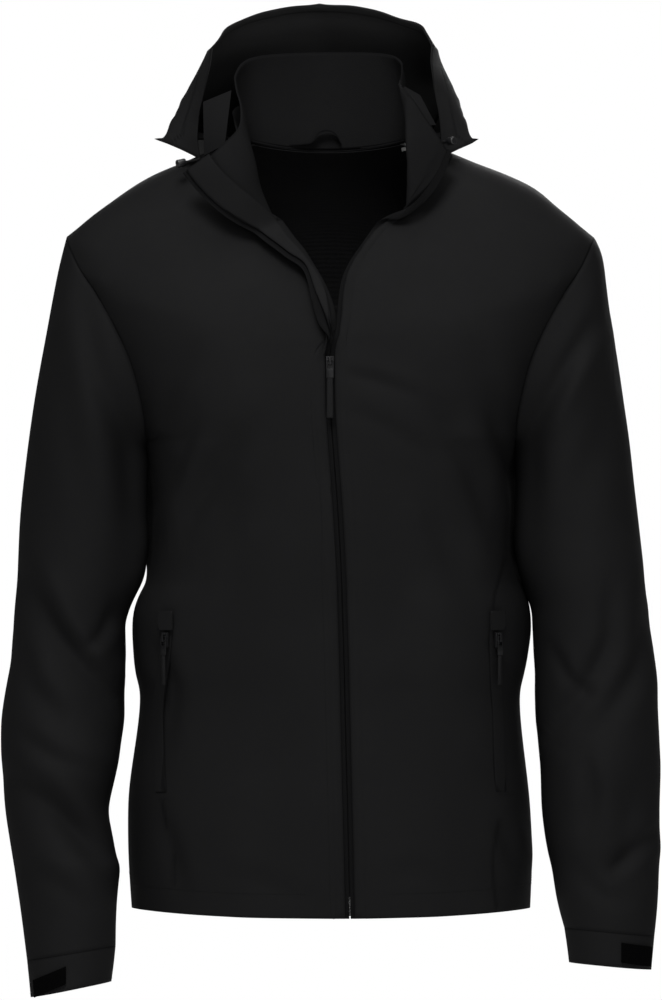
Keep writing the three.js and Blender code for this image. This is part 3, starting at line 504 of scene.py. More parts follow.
def smoothPath(ends, count, rounds):
    ends = np.array(ends, dtype=float)
    lengths = np.concatenate([[0], np.cumsum(np.linalg.norm(np.diff(ends, axis=0), axis=1))])
    steps = np.linspace(0, lengths[-1], count)
    path = np.column_stack([np.interp(steps, lengths, ends[:, n]) for n in range(ends.shape[1])])
    for _ in range(rounds):                       # rounds off the bends
        path[1:-1] = (path[:-2] + path[1:-1] * 2 + path[2:]) / 4
    return path


def bentLine(ends, count=28):
    return smoothPath(np.array(ends, dtype=float) * mm, count, 6)


def creaseHeights(where, outwards, creases):
    heights = np.zeros(len(where))
    for face, crease in [(face, crease) for face in creases for crease in creases[face]]:
        line = bentLine(crease["along"])
        towards = -outwards[:, 1] if face == "front" else outwards[:, 1]
        facing = np.clip((towards + 0.15) * 2.2, 0, 1)
        width = crease["width"] * mm
        low, high = line.min(0) - 4 * width, line.max(0) + 4 * width
        spot = where[:, [0, 2]]
        close = np.where(((spot > low) & (spot < high)).all(1) & (facing > 0))[0]
        if not len(close):
            continue
        gaps = spot[close, None, :] - line[None, :, :]
        distance = np.linalg.norm(gaps, axis=2)
        nearest = distance.argmin(1)
        along = nearest / (len(line) - 1)
        tangent = np.gradient(line, axis=0)[nearest]
        tangent /= np.linalg.norm(tangent, axis=1, keepdims=True)
        gap = gaps[np.arange(len(close)), nearest]
        aside = tangent[:, 0] * gap[:, 1] - tangent[:, 1] * gap[:, 0]
        reach = distance.min(1)
        taper = np.sin(np.pi * np.clip(along * 0.92 + 0.04, 0, 1)) ** 0.7
        trough = np.exp(-(reach / width) ** 2)
        ridge = np.exp(-((aside - 1.7 * width) / (1.1 * width)) ** 2)
        ridge *= np.exp(-((reach - np.abs(aside)) / width) ** 2)
        depth = crease["depth"] * mm
        heights[close] += facing[close] * taper * depth * (crease.get("beside", 0.4) * ridge - trough)
    return heights


def flared(where):                                # moves the hood's sides by hoodFlare
    heights, halves, right, left = np.array(hoodFlare["rows"]).T * mm
    aside = where[:, 0] - hoodFlare["middle"] * mm
    half = np.interp(where[:, 2], heights, halves)
    shift = np.where(aside < 0, np.interp(where[:, 2], heights, right), np.interp(where[:, 2], heights, left))
    shift *= (where[:, 2] > heights[0]) * np.minimum(abs(aside) / half, 1) ** 8
    return where + np.column_stack([shift * np.sign(aside), np.zeros((len(where), 2))])


def bulgeHeights(where, bulges):                  # soft swellings, places and sizes in mm
    heights = np.zeros(len(where))
    for bulge in bulges:
        reach = (where - np.array(bulge["at"]) * mm) / (np.array(bulge["size"]) * mm)
        heights += bulge["height"] * mm * np.exp(-(reach ** 2).sum(1))
    return heights


def sewnLines(where, lines):                      # narrow pressed lines, sunk and darkened with painted shade: x and z in mm from the front
    depth = np.zeros(len(where))
    close = np.where(where[:, 1] < 0.02)[0]
    for line in lines:
        path = bentLine(line, 60)
        distance = np.linalg.norm(where[close][:, None, [0, 2]] - path[None, :, :], axis=2).min(1)
        depth[close] = np.maximum(depth[close], np.exp(-(distance / (1.9 * mm)) ** 2))
    return depth


def smoothed(mesh, where, steps, weight):         # softens the form away from its border
    pairs = np.zeros(len(mesh.edges) * 2, dtype=int)
    mesh.edges.foreach_get("vertices", pairs)
    first, second = pairs.reshape(-1, 2).T
    total = np.bincount(np.concatenate([first, second]), minlength=len(where))[:, None]
    for _ in range(steps):
        near = np.column_stack([
            np.bincount(first, where[second, axis], len(where)) +
            np.bincount(second, where[first, axis], len(where)) for axis in range(3)])
        where = where + (near / total - where) * weight[:, None] * 0.5
    return where


def clothPiece(name, node, levels, outwards, creases=(), bulges=(), lines=(), wall=3.1,
               slot="shell", hood=False):
    form = coarseCopy(node)
    markRim(form, wall * mm, outwards)
    if hood:
        cutOnce(form, wall * mm)
    mesh = finerMesh(name, form, levels)
    where = flared(points(mesh)) if hood else points(mesh)
    border = onBorder(mesh)
    free = np.clip(distanceTo(where[border], where) / (6 * mm), 0, 1)
    if hood:
        where = smoothed(mesh, where, 40, free)
    elif outwards is outOfBody and slot == "shell":   # where the shoulders turn into the chest and back
        where = smoothed(mesh, where, 60, free * np.exp(-((where[:, 2] + 0.14) / 0.05) ** 2))
    out = outwards(where)
    heights = creaseHeights(where, out, creases) * foldStrength + bulgeHeights(where, bulges)
    setPoints(mesh, where + out * heights[:, None])
    where = points(mesh)
    # distance to the edge, which sets the painted seam shade and groove
    setAttribute(mesh, "seam", distanceTo(where[border], where) if border.any() else np.ones(len(where)))
    setAttribute(mesh, "line", sewnLines(where, lines))
    # painted light inside the hood: paler the higher it lies
    setAttribute(mesh, "pale", hood * np.clip((where[:, 2] - 0.012) / 0.04, 0, 1))
    smoothUpTo(mesh, clothAngle)
    piece = addObject(name, mesh, slot)
    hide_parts(node)
    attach(piece, "jacket")
    print("cloth", name, len(mesh.polygons), "faces")
    return piece


foldStrength = 1.5
bodyCreases = {"front": [
    {"along": [(-75, -272), (-118, -326), (-160, -392)], "width": 13, "depth": 3.2, "beside": 0.6},
    {"along": [(-128, -262), (-150, -318), (-168, -352)], "width": 9, "depth": 2.6},
    {"along": [(-84, -310), (-108, -372), (-144, -440)], "width": 15, "depth": 1.5},
    {"along": [(104, -258), (138, -322), (166, -398)], "width": 12, "depth": 3.4, "beside": 0.6},
    {"along": [(150, -262), (168, -310), (178, -352)], "width": 8, "depth": 2.4},
    {"along": [(78, -300), (108, -372), (140, -452)], "width": 15, "depth": 2.0},
    {"along": [(-86, -330), (-90, -450), (-82, -580)], "width": 24, "depth": 1.8},
    {"along": [(62, -300), (74, -420), (84, -560)], "width": 24, "depth": 1.8},
    {"along": [(12, -222), (48, -231), (84, -246)], "width": 7, "depth": 1.3},
    {"along": [(16, -256), (52, -272), (92, -300)], "width": 9, "depth": 1.5},
    {"along": [(-172, -470), (-150, -520), (-158, -580)], "width": 10, "depth": 2.2},
    {"along": [(158, -646), (170, -672), (182, -700)], "width": 8, "depth": 2.6},
    {"along": [(150, -470), (168, -498), (182, -512)], "width": 8, "depth": 1.8},
    {"along": [(-160, -640), (-150, -676), (-140, -712)], "width": 9, "depth": 1.8},
    {"along": [(-110, -690), (-60, -704), (-20, -722)], "width": 10, "depth": 1.0},
    {"along": [(40, -700), (80, -690), (120, -712)], "width": 11, "depth": 1.1},
    {"along": [(-120, -190), (-150, -232), (-162, -276)], "width": 12, "depth": 1.6},
    {"along": [(128, -186), (152, -226), (164, -262)], "width": 12, "depth": 1.8},
], "back": [
    {"along": [(-160, -250), (-110, -330), (-40, -400)], "width": 16, "depth": 3.4, "beside": 0.6},
    {"along": [(158, -262), (116, -340), (60, -392)], "width": 15, "depth": 3.0, "beside": 0.6},
    {"along": [(-150, -380), (-70, -430), (10, -442)], "width": 18, "depth": 3.0, "beside": 0},
    {"along": [(152, -410), (90, -446), (20, -470)], "width": 15, "depth": 2.6},
    {"along": [(-60, -150), (-84, -230), (-72, -300)], "width": 20, "depth": 1.4, "beside": 0},
    {"along": [(70, -150), (88, -220), (80, -290)], "width": 20, "depth": 1.3, "beside": 0},
    {"along": [(-90, -520), (-80, -600), (-96, -690)], "width": 18, "depth": 2.0, "beside": 0},
    {"along": [(40, -520), (52, -610), (46, -700)], "width": 20, "depth": 2.2, "beside": 0},
    {"along": [(130, -540), (120, -620), (132, -690)], "width": 14, "depth": 1.6},
]}

sleeveCreases = {
    "right": {"front": [
        {"along": [(-286, -414), (-262, -462), (-226, -508), (-200, -534)], "width": 10, "depth": 4.2, "beside": 0.7},
        {"along": [(-300, -470), (-284, -520), (-246, -556)], "width": 12, "depth": 2.6},
        {"along": [(-306, -606), (-262, -628), (-232, -666), (-208, -698)], "width": 11, "depth": 3.8, "beside": 0.7},
        {"along": [(-300, -560), (-262, -586), (-216, -600)], "width": 9, "depth": 2.0},
        {"along": [(-204, -440), (-216, -468), (-236, -486)], "width": 7, "depth": 2.4},
        {"along": [(-292, -690), (-256, -706), (-226, -736)], "width": 10, "depth": 1.8},
        {"along": [(-236, -150), (-222, -220), (-196, -290)], "width": 12, "depth": 3.2, "beside": 0.5},
        {"along": [(-262, -190), (-250, -280), (-226, -360)], "width": 16, "depth": 2.2},
    ], "back": [
        {"along": [(-290, -430), (-250, -462), (-206, -470)], "width": 12, "depth": 3.8, "beside": 0.6},
        {"along": [(-300, -500), (-258, -520), (-208, -512)], "width": 11, "depth": 3.6, "beside": 0.6},
        {"along": [(-304, -580), (-262, -590), (-214, -570)], "width": 12, "depth": 2.8},
        {"along": [(-240, -160), (-228, -240), (-200, -320)], "width": 14, "depth": 2.8},
        {"along": [(-294, -650), (-256, -672), (-220, -700)], "width": 11, "depth": 2.0},
    ]},
    "left": {"front": [
        {"along": [(252, -168), (222, -216), (190, -276)], "width": 10, "depth": 4.4, "beside": 0.6},
        {"along": [(274, -196), (256, -280), (226, -360)], "width": 16, "depth": 2.4},
        {"along": [(266, -416), (264, -478), (236, -524), (202, -562)], "width": 11, "depth": 4.4, "beside": 0.7},
        {"along": [(300, -440), (292, -500), (262, -548)], "width": 12, "depth": 2.6},
        {"along": [(208, -480), (224, -512), (250, -530)], "width": 7, "depth": 2.0},
        {"along": [(240, -585), (246, -622), (240, -660)], "width": 10, "depth": 3.0},
        {"along": [(308, -655), (288, -672), (262, -694)], "width": 8, "depth": 3.0, "beside": 0.6},
        {"along": [(300, -590), (282, -640), (276, -700)], "width": 12, "depth": 1.8},
        {"along": [(230, -690), (256, -716), (288, -724)], "width": 9, "depth": 1.6},
    ], "back": [
        {"along": [(292, -420), (250, -452), (206, -462)], "width": 12, "depth": 3.8, "beside": 0.6},
        {"along": [(304, -496), (258, -516), (206, -506)], "width": 11, "depth": 3.4, "beside": 0.6},
        {"along": [(306, -576), (262, -590), (212, -566)], "width": 12, "depth": 2.8},
        {"along": [(240, -160), (228, -240), (200, -320)], "width": 14, "depth": 2.8},
        {"along": [(300, -650), (262, -676), (230, -700)], "width": 11, "depth": 2.0},
    ]},
}

bodyBulges = [                                    # the sides swell out under the arms, where the sleeves rest
    {"at": (-170, 26, -300), "size": (25, 24, 26), "height": 3.5},
    {"at": (-170, 26, -340), "size": (25, 24, 28), "height": 8},
    {"at": (-170, 26, -386), "size": (25, 24, 28), "height": 8},
    {"at": (168, 26, -300), "size": (25, 24, 26), "height": 5},
    {"at": (168, 26, -340), "size": (25, 24, 28), "height": 9.5},
    {"at": (168, 26, -386), "size": (25, 24, 30), "height": 11},
    {"at": (172, 10, -430), "size": (25, 30, 24), "height": 4.5},
    {"at": (178, 6, -466), "size": (25, 34, 26), "height": 3.5},
    {"at": (192, 4, -50), "size": (26, 60, 20), "height": 3},
    {"at": (115, -100, -200), "size": (55, 60, 70), "height": 5},
    {"at": (-115, -100, -200), "size": (55, 60, 70), "height": 4},
    {"at": (108, -110, -385), "size": (50, 60, 70), "height": -5},
    {"at": (-108, -110, -385), "size": (50, 60, 70), "height": -5},
]
sleeveBulges = {                                  # and the inner sides of the sleeves fold towards them
    "right": [
        {"at": (-181, -16, -297), "size": (22, 22, 30), "height": 9.5},
        {"at": (-182, -17, -340), "size": (22, 22, 30), "height": 7.5},
        {"at": (-182, -20, -386), "size": (22, 22, 30), "height": 10},
        {"at": (-184, -24, -420), "size": (22, 22, 18), "height": 4},
    ],
    "left": [
        {"at": (180, -16, -297), "size": (22, 22, 30), "height": 6.5},
        {"at": (180, -17, -340), "size": (22, 22, 30), "height": 5.5},
        {"at": (180, -20, -384), "size": (22, 22, 30), "height": 7.5},
        {"at": (246, 4, -106), "size": (30, 60, 22), "height": 2.5},
    ],
}
hoodBulges = [                                    # a flatter top and straight flaring sides
    {"at": (-38, 74, 127), "size": (20, 40, 24), "height": 3},
    {"at": (-70, 60, 119), "size": (22, 40, 24), "height": 4},
    {"at": (18, 74, 127), "size": (20, 40, 24), "height": 4},
    {"at": (48, 62, 118), "size": (22, 40, 24), "height": 5.5},
    {"at": (84, 40, 100), "size": (20, 40, 22), "height": 7},
]
hoodFlare = {                                     # from its middle line: height, half width, and the move outwards
    "middle": -11,
    "rows": [(-4, 150, 0, 0), (0, 150, 1.5, -3), (19, 148.5, -6.5, -8), (33, 144.3, -10.9, -9.8),
             (47.5, 138, -12.2, -9.2), (61.8, 131, -12, -7.9), (76, 120.6, -8.1, -3.2), (90, 109, -3, 2.7),
             (104, 94, 0, 3)],
}
frontLines = [                                    # seams that run from the pockets, sunk and darkened with painted shade
    [(165, -399), (155, -433), (154, -446)],
    [(154, -520), (157, -566), (159.5, -618)],
    [(159.5, -646), (153, -681), (155, -714), (157, -727)],
    [(-154, -473), (-155, -489), (-158, -498), (-161, -505), (-162.5, -518), (-165, -531)],
    [(-160, -627), (-156, -651)],
    [(-148.7, -676), (-149, -705)],
]

hoodCreases = {"front": [
    {"along": [(-140, 16), (-120, 60), (-84, 96)], "width": 9, "depth": 2.0},
    {"along": [(112, 10), (100, 52), (68, 92)], "width": 9, "depth": 2.2},
], "back": [
    {"along": [(-100, 20), (-60, -10), (-20, -40)], "width": 14, "depth": 3.4},
    {"along": [(80, 24), (44, -4), (6, -34)], "width": 13, "depth": 3.0},
    {"along": [(-70, 70), (-10, 56), (50, 74)], "width": 18, "depth": 2.6},
]}

neckPoint = outOfPoint((-8, 0, 20))
hoodPoint = outOfPoint((-11, 60, 10))

cloth = {}
for side, area in (("Right", 0.175), ("Left", 0.17)):
    cloth["front" + side] = clothPiece(
        "front" + side, "front_" + side.lower(), 3, outOfBody, bodyCreases, bodyBulges, frontLines)
cloth["back"] = clothPiece("backPanel", "back", 3, outOfBody, bodyCreases, bodyBulges)
for side in ("Right", "Left"):
    lower = side.lower()
    out = outOfSleeve(lower)
    cloth["sleeve" + side] = clothPiece(
        "sleeve" + side, "sleeve_" + lower, 3, out, sleeveCreases[lower], sleeveBulges[lower])
    cloth["cuff" + side] = clothPiece("cuff" + side, "cuff_" + lower, 3, out, wall=2.2)
cloth["collar"] = clothPiece("standCollar", "collar", 3, neckPoint)
cloth["stormFlap"] = clothPiece("stormFlap", "storm_flap", 3, neckPoint, wall=2.2)
cloth["hoodBand"] = clothPiece("hoodBand", "hood_band", 3, neckPoint, wall=2.2)
for side in ("Right", "Left"):
    cloth["hoodSide" + side] = clothPiece(
        "hoodSide" + side, "hood_side_" + side.lower(), 3, hoodPoint, hoodCreases, hoodBulges,
        hood=True)
cloth["hoodCrown"] = clothPiece(
    "hoodCrown", "hood_crown", 3, hoodPoint, hoodCreases, hoodBulges, hood=True)


seamClosing = {"gap": 0.35 * mm, "fade": 20 * mm}   # the gap that stays, and how far in the cloth follows


def closeSeam(piece, others, reach=9):            # draws an edge to its neighbours' edges within reach in mm
    mesh = piece.data
    where = points(mesh)
    inside, border = onInside(mesh), onBorder(mesh)
    for face in (False, True):                    # the outer face, then the inner one
        targets = np.concatenate([
            points(other.data)[onBorder(other.data) & (onInside(other.data) == face)] for other in others])
        if not len(targets):
            continue
        tree, own = treeOf(targets), KDTree(len(where))
        moves = {}
        for n in np.where(border & (inside == face))[0]:
            spot, _, gap = tree.find(where[n])
            if gap < reach * mm:
                moves[n] = (np.array(spot) - where[n]) * max(0, 1 - seamClosing["gap"] / max(gap, 1e-6))
                own.insert(where[n], n)
        own.balance()
        for n in np.where(inside == face)[0]:
            _, nearest, gap = own.find(where[n])
            if moves and gap < seamClosing["fade"]:
                where[n] = where[n] + moves[nearest] * (1 - gap / seamClosing["fade"]) ** 2
    setPoints(mesh, where)


for side in ("Right", "Left"):
    closeSeam(cloth["sleeve" + side], [cloth["frontRight"], cloth["frontLeft"], cloth["back"]], 14)
    closeSeam(cloth["cuff" + side], [cloth["sleeve" + side]])
    closeSeam(cloth["hoodSide" + side], [cloth["hoodCrown"]], 5)
closeSeam(cloth["collar"], [cloth["back"]], 4)
cloth["lining"] = clothPiece(
    "backLining", "lining_back", 2, outOfBody, bodyCreases,
    [{"at": (0, 100, -150), "size": (900, 900, 900), "height": -1.6}], wall=1.4, slot="lining")


# Stitching: rows of thread at a set distance from an edge

def edgeOf(piece, condition):                     # the points of an edge that meet a condition, in mm
    edge = points(piece.data)[onBorder(piece.data)]
    return edge[condition(edge / mm)]


def contour(mesh, values, level, keep):           # lines on the faces where values cross the level
    where = points(mesh)
    up = normals(mesh)
    corners = np.array([polygon.vertices[:] for polygon in mesh.polygons if len(polygon.vertices) == 4])
    around = values[corners]
    crossing = (around.min(1) < level) & (around.max(1) >= level) & keep[corners].all(1)
    links, spots = {}, {}
    for corner in corners[crossing]:
        cut = []
        for n in range(4):
            a, b = int(corner[n]), int(corner[(n + 1) % 4])
            if (values[a] < level) != (values[b] < level):
                t = (level - values[a]) / (values[b] - values[a])
                key = (min(a, b), max(a, b))
                spots[key] = (where[a] + (where[b] - where[a]) * t, up[a] + (up[b] - up[a]) * t)
                cut.append(key)
        if len(cut) == 2:
            links.setdefault(cut[0], []).append(cut[1])
            links.setdefault(cut[1], []).append(cut[0])
    lines = []
    left = set(links)
    while left:
        start = next((key for key in sorted(left) if len(links[key]) == 1), None) or min(left)
        line = [start]
        left.discard(start)
        while True:
            following = next((key for key in links[line[-1]] if key in left), None)
            if following is None:
                break
            line.append(following)
            left.discard(following)
        lines.append([spots[key] for key in line])
    return [line for line in lines if len(line) > 4]


sewing = {"pitch": 3.4 * mm, "length": 2.3 * mm, "radius": 0.26 * mm}
threads = bmesh.new()


def sewAlong(line):                               # stitches on a line of places and the ways out of the cloth
    distance = due = 0.0
    for (a, up), (b, _) in zip(line[:-1], line[1:]):
        a, b, up = Vector(a), Vector(b), Vector(up).normalized()
        length = (b - a).length
        while due < distance + length and length > 0:
            along = (b - a).normalized()
            spot = a.lerp(b, (due - distance) / length) + up * sewing["radius"] * 0.5
            aside = up.cross(along).normalized()
            turn = Matrix((along, aside, up)).transposed().to_4x4()
            size = Matrix.Diagonal((sewing["length"] / 2, sewing["radius"], sewing["radius"], 1))
            bmesh.ops.create_icosphere(
                threads, subdivisions=1, radius=1, matrix=Matrix.Translation(spot) @ turn @ size)
            due += sewing["pitch"]
        distance += length


def sew(piece, edge, level, within=None):         # a row at level mm from an edge
    mesh = piece.data
    values = distanceTo(edge, points(mesh))
    keep = getAttribute(mesh, "inside") < 0.5
    if within:
        keep &= within(points(mesh) / mm)
    for line in contour(mesh, values, level * mm, keep):
        sewAlong(line)


def hoodRim(p):                                   # the edge round the face
    return p[:, 1] < np.interp(p[:, 2], [-19, 14, 66, 109, 131], [-45, -30, 2, 46, 82]) + 10


rightEdge = edgeOf(cloth["frontRight"], lambda p: (abs(p[:, 0]) < 90) & (p[:, 2] > -730) & (p[:, 2] < -96))
sew(cloth["frontRight"], rightEdge, 10, lambda p: p[:, 2] < -236)
for name in ("frontRight", "frontLeft", "back"):
    hem = edgeOf(cloth[name], lambda p: p[:, 2] < -716)
    sew(cloth[name], hem, 22, lambda p: (abs(p[:, 0] - 18) > 34) | (p[:, 1] > 0))
for name in ("cuffRight", "cuffLeft"):
    lowest = points(cloth[name].data)[:, 2].min() / mm
    sew(cloth[name], edgeOf(cloth[name], lambda p: p[:, 2] < lowest + 19), 3)
for name in ("hoodSideRight", "hoodSideLeft", "hoodCrown"):
    rim = edgeOf(cloth[name], hoodRim)
    sew(cloth[name], rim, 19, lambda p: p[:, 1] > 60)
    away = distanceTo(rim, points(cloth[name].data)) / mm
    # painted shade and a sunk line along the hood's channel stitching
    setAttribute(cloth[name].data, "line", np.exp(-((away - 19) / 1.7) ** 2))

graph = bpy.context.evaluated_depsgraph_get()
fronts = [BVHTree.FromObject(cloth[name], graph) for name in ("frontRight", "frontLeft")]


def fromFront(x, z):                              # the place on the front panels seen at x and z, in mm
    hits = [tree.ray_cast(Vector((x * mm, -0.5, z * mm)), Vector((0, 1, 0))) for tree in fronts]
    hits = [(place, normal) for place, normal, _, _ in hits if place]
    return min(hits, key=lambda hit: hit[0].y) if hits else None


for start, end, z in ((160, 175, -619.5), (160, 175, -621.5), (-161, -150, -625)):   # bars below the pockets
    steps = [fromFront(start + (end - start) * n / 12, z) for n in range(13)]
    sewAlong([(tuple(place), tuple(normal)) for place, normal in filter(None, steps)])
stitchMesh = meshFrom(threads, "stitching")
stitchMesh.shade_smooth()
stitching = addObject("stitching", stitchMesh, "thread")
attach(stitching, "jacket")
print("stitching", len(stitchMesh.polygons), "faces")


# Tapes, pockets, patches, loop and neck panels: thin walls, made finer

def trimPiece(name, node, levels, wall, finish, sunk=0.0):
    form = coarseCopy(node)
    markRim(form, wall * mm)
    mesh = finerMesh(name, form, levels)
    where = points(mesh)
    setPoints(mesh, where - outOfBody(where) * sunk * mm)
    seamGaps = np.ones(len(where))
    if sunk:                                      # a sunk strip has its seam, sunk and darkened with painted shade, on the side of the front zip
        border = onBorder(mesh)
        middles = sorted((z, abs(where[abs(where[:, 2] - z) < 8 * mm, 0]).mean()) for z in where[border, 2])
        towardsZip = border & (abs(where[:, 0]) < np.interp(where[:, 2], *np.array(middles).T))
        seamGaps = distanceTo(where[towardsZip], where)
    setAttribute(mesh, "seam", seamGaps)
    setAttribute(mesh, "inside", np.zeros(len(where)))
    smoothUpTo(mesh, clothAngle)
    piece = addObject(name, mesh, finish)
    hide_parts(node)
    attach(piece, "jacket")
    return piece


tapes = {
    "right": trimPiece("zipTapeRight", "zip_tape_right", 2, 1.3, "tape"),
    "left": trimPiece("zipTapeLeft", "zip_tape_left", 2, 1.3, "tape"),
}
for side in ("right", "left"):
    title = side.capitalize()
    trimPiece("pocketZip" + title, "pocket_zip_" + side, 2, 1.3, "shell", sunk=1.0)
    trimPiece("pocketGarage" + title, "pocket_garage_" + side, 3, 1.8, "shell")
    patch = trimPiece("cuffPatch" + title, "cuff_patch_" + side, 2, 1.3, "patch")
    where = points(patch.data)
    slant = 0.25 if side == "right" else -0.06
    where[:, 2] += (where[:, 0] - where[:, 0].mean()) * slant
    setPoints(patch.data, where)


def sheetOf(name, rows, thickness, finish):   # rows of points in mm, made a thin wall
    form = bmesh.new()
    across, along = len(rows[0]), len(rows)
    bmesh.ops.create_grid(form, x_segments=across - 1, y_segments=along - 1, size=1)
    ordered = sorted(form.verts, key=lambda v: (round(v.co.y, 4), round(v.co.x, 4)))
    for vertex, spot in zip(ordered, [spot for row in rows for spot in row]):
        vertex.co = Vector(spot) * mm
    bmesh.ops.recalc_face_normals(form, faces=form.faces)
    bmesh.ops.solidify(form, geom=form.faces[:], thickness=thickness * mm)
    piece = addObject(name, meshFrom(form, name, clothAngle), finish)
    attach(piece, "jacket")
    return piece


loopShape = {                                     # x and z of the hanger loop, sewn down at both ends
    "along": [(-41, -4.5), (-30, -3.8), (-18, -2.6), (-14.5, 2), (-12, 7.5), (-6, 10), (1, 9.2), (6, 4.5),
              (9, -2.5)],
    "width": 8,
    "thickness": 1.1,
}
behind = max(v.co.y for v in nodes["hanger_loop"].data.vertices) / mm
loopRows = [
    [(x, behind - 0.6 - loopShape["width"] * t, z) for t in (0, 0.25, 0.5, 0.75, 1)]
    for x, z in smoothPath(loopShape["along"], 33, 3)]
loop = sheetOf("hangerLoop", loopRows, loopShape["thickness"], "tape")
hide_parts("hanger_loop")

neckPanels = {                                    # the hood's neck edge beside the collar: four corners each
    "hoodNeckRight": [(-121, -16, 35), (-94.5, -12, 46), (-119.5, -43, -16), (-100, -52, -6)],
    "hoodNeckLeft": [(69, -20, 50), (84, -25, 41), (80, -45, 12), (99, -40, 13)],
}
for name, (topA, topB, lowA, lowB) in neckPanels.items():
    rows = []
    for n in range(13):
        t = n / 12
        start = Vector(topA).lerp(Vector(lowA), t)
        end = Vector(topB).lerp(Vector(lowB), t)
        bow = 3.0 * math.sin(math.pi * t)
        bows = [-bow - 1.4 * math.sin(math.pi * k / 8) for k in range(9)]
        rows.append([start.lerp(end, k / 8) + Vector((0, bows[k], 0)) for k in range(9)])
    panel = sheetOf(name, rows, 1.5, "shell")
    for key, value in (("seam", 1.0), ("inside", 1.0), ("line", 0.0), ("pale", 0.0)):
        setAttribute(panel.data, key, np.full(len(panel.data.vertices), value))


# Zip teeth: small coils that meet behind the two tapes

zipTeeth = {"pitch": 1.35, "size": (2.5, 0.9, 0.72), "behind": 1.0, "top": -226, "bottom": -735}
tapeRight, tapeLeft = points(tapes["right"].data) / mm, points(tapes["left"].data) / mm
teeth = bmesh.new()
count = int((zipTeeth["top"] - zipTeeth["bottom"]) / zipTeeth["pitch"])
for n in range(count):
    z = zipTeeth["top"] - n * zipTeeth["pitch"]
    nearRight = tapeRight[abs(tapeRight[:, 2] - z) < 9]
    nearLeft = tapeLeft[abs(tapeLeft[:, 2] - z) < 9]
    innerRight = nearRight[nearRight[:, 0].argmax()]
    innerLeft = nearLeft[nearLeft[:, 0].argmin()]
    middle = (innerRight + innerLeft) / 2
    edges = nearRight[nearRight[:, 0] > innerRight[0] - 1.5], nearLeft[nearLeft[:, 0] < innerLeft[0] + 1.5]
    depth = max(edge[:, 1].max() for edge in edges)
    aside = 0.4 if n % 2 else -0.4
    place = Matrix.Translation(Vector((middle[0] + aside, depth + zipTeeth["behind"], z)) * mm)
    size = Matrix.Diagonal((*[value * mm for value in zipTeeth["size"]], 1))
    bmesh.ops.create_icosphere(teeth, subdivisions=1, radius=1, matrix=place @ size)
teethMesh = meshFrom(teeth, "zipTeeth")
teethMesh.shade_smooth()
zipTeethPiece = addObject("zipTeeth", teethMesh, "tape")
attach(zipTeethPiece, "jacket")
print("zip teeth", count)


# Hard parts: sliders, pulls, cord locks with rounded edges

def roundedPiece(name, node, body, edge, finish, turn=None):
    form = coarseCopy(node)
    if turn:
        middle = sum((v.co for v in form.verts), Vector()) / len(form.verts)
        about = Matrix.Translation(middle + turn["move"] * mm) @ Matrix.Rotation(math.radians(turn["angle"]), 4, "Y")
        bmesh.ops.transform(form, matrix=about @ Matrix.Translation(-middle), verts=form.verts)
    bmesh.ops.dissolve_limit(form, angle_limit=math.radians(2), verts=form.verts, edges=form.edges)
    sharp = [e for e in form.edges if e.is_manifold and e.calc_face_angle(0) > math.radians(35)]
    bmesh.ops.bevel(
        form, geom=sharp, offset=edge * mm, offset_type="OFFSET", segments=2, profile=0.5, affect="EDGES",
        clamp_overlap=True, material=-1)
    piece = addObject(name, meshFrom(form, name, 50), finish)
    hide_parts(node)
    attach(piece, body)
    return piece


for name, prefix, body in (
        ("frontZip", "front_zip", "front_pull"), ("pocketRight", "pocket_right", "pocket_right_pull"),
        ("pocketLeft", "pocket_left", "pocket_left_pull")):
    roundedPiece(name + "Slider", prefix + "_slider", "jacket", 0.45, "metal")
    roundedPiece(name + "Pull", prefix + "_pull", body, 0.3, "metal")
    roundedPiece(name + "Cord", prefix + "_cord", body, 0.5, "cord")
for side in ("right", "left"):
    title = side.capitalize()
    roundedPiece("cordLock" + title, "cord_lock_" + side, "jacket", 1.1, "plastic")
    roundedPiece("hoodCord" + title, "hood_cord_" + side, "jacket", 0.3, "cord")
labelTurn = {"move": Vector((7.0, -1.5, -1.5)), "angle": -16}   # the label hangs a little askew
roundedPiece("neckLabel", "neck_label", "jacket", 0.1, "label", labelTurn)
print("trims and hard parts made")


# Camera, light and floor

view = {"distance": 18.0, "height": -0.342, "pixel": 0.95 * mm, "rows": 1000, "sensor": 24}
camera = bpy.data.objects.new("camera", bpy.data.cameras.new("camera"))
bpy.context.scene.collection.objects.link(camera)
camera.location = (0, -view["distance"], view["height"])
camera.rotation_euler = (math.radians(90), 0, 0)
camera.data.sensor_fit = "VERTICAL"
camera.data.sensor_height = view["sensor"]
camera.data.lens = view["sensor"] * view["distance"] / (view["pixel"] * view["rows"])
camera.data.clip_end = 200
bpy.context.scene.camera = camera

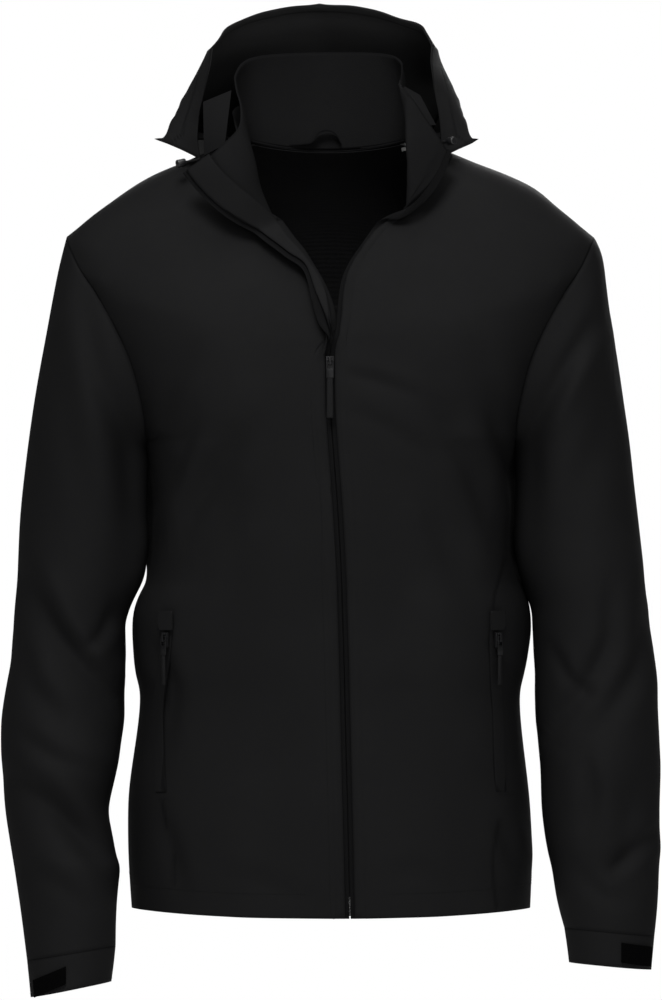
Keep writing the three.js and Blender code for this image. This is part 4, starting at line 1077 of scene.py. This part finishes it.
world = bpy.data.worlds.new("studio")
bpy.context.scene.world = world
world.use_nodes = True
worldTree = world.node_tree
background = next(n for n in worldTree.nodes if n.type == "BACKGROUND")
background.inputs["Color"].default_value = (1, 1, 1, 1)
ambient = 0.12                                    # what the white surround gives, seen at full strength
seen = worldTree.nodes.new("ShaderNodeLightPath")
strength = worldTree.nodes.new("ShaderNodeMath")
strength.operation = "MULTIPLY_ADD"
strength.inputs[1].default_value = 1 - ambient
strength.inputs[2].default_value = ambient
worldTree.links.new(seen.outputs["Is Camera Ray"], strength.inputs[0])
worldTree.links.new(strength.outputs[0], background.inputs["Strength"])

lights = [
    {"name": "key", "at": (-0.6, -2.6, 3.3), "size": 1.8, "power": 205},
    {"name": "fill", "at": (1.0, -3.8, 0.2), "size": 2.4, "power": 50},
    {"name": "top", "at": (0.3, -0.4, 3.2), "size": 2.0, "power": 50},
    {"name": "behind", "at": (0.6, 3.4, 1.6), "size": 2.4, "power": 110},
]
for entry in lights:
    data = bpy.data.lights.new(entry["name"], "AREA")
    data.size = entry["size"]
    data.energy = entry["power"]
    lamp = bpy.data.objects.new(entry["name"], data)
    bpy.context.scene.collection.objects.link(lamp)
    lamp.location = entry["at"]
    lamp.rotation_euler = (Vector((0, 0, -0.35)) - lamp.location).to_track_quat("-Z", "Y").to_euler()

floorShape = {"radius": 6.0, "height": -1.45}
floorForm = bmesh.new()
bmesh.ops.create_circle(
    floorForm, cap_ends=True, segments=96, radius=floorShape["radius"],
    matrix=Matrix.Translation((0, 0, floorShape["height"])))
floorMesh = meshFrom(floorForm, "floor")
floor = bpy.data.objects.new("floor", floorMesh)
bpy.context.scene.collection.objects.link(floor)
paleFloor = Finish("paleFloor", (0.86, 0.86, 0.86), Roughness=0.9)
floorTone = paleFloor.noise(0.6)
paleFloor.feed("Base Color", paleFloor.blend(floorTone, (0.85, 0.85, 0.85), (0.88, 0.88, 0.88)))
floorMesh.materials.append(paleFloor.material)
bpy.context.scene.view_settings.view_transform = "Standard"
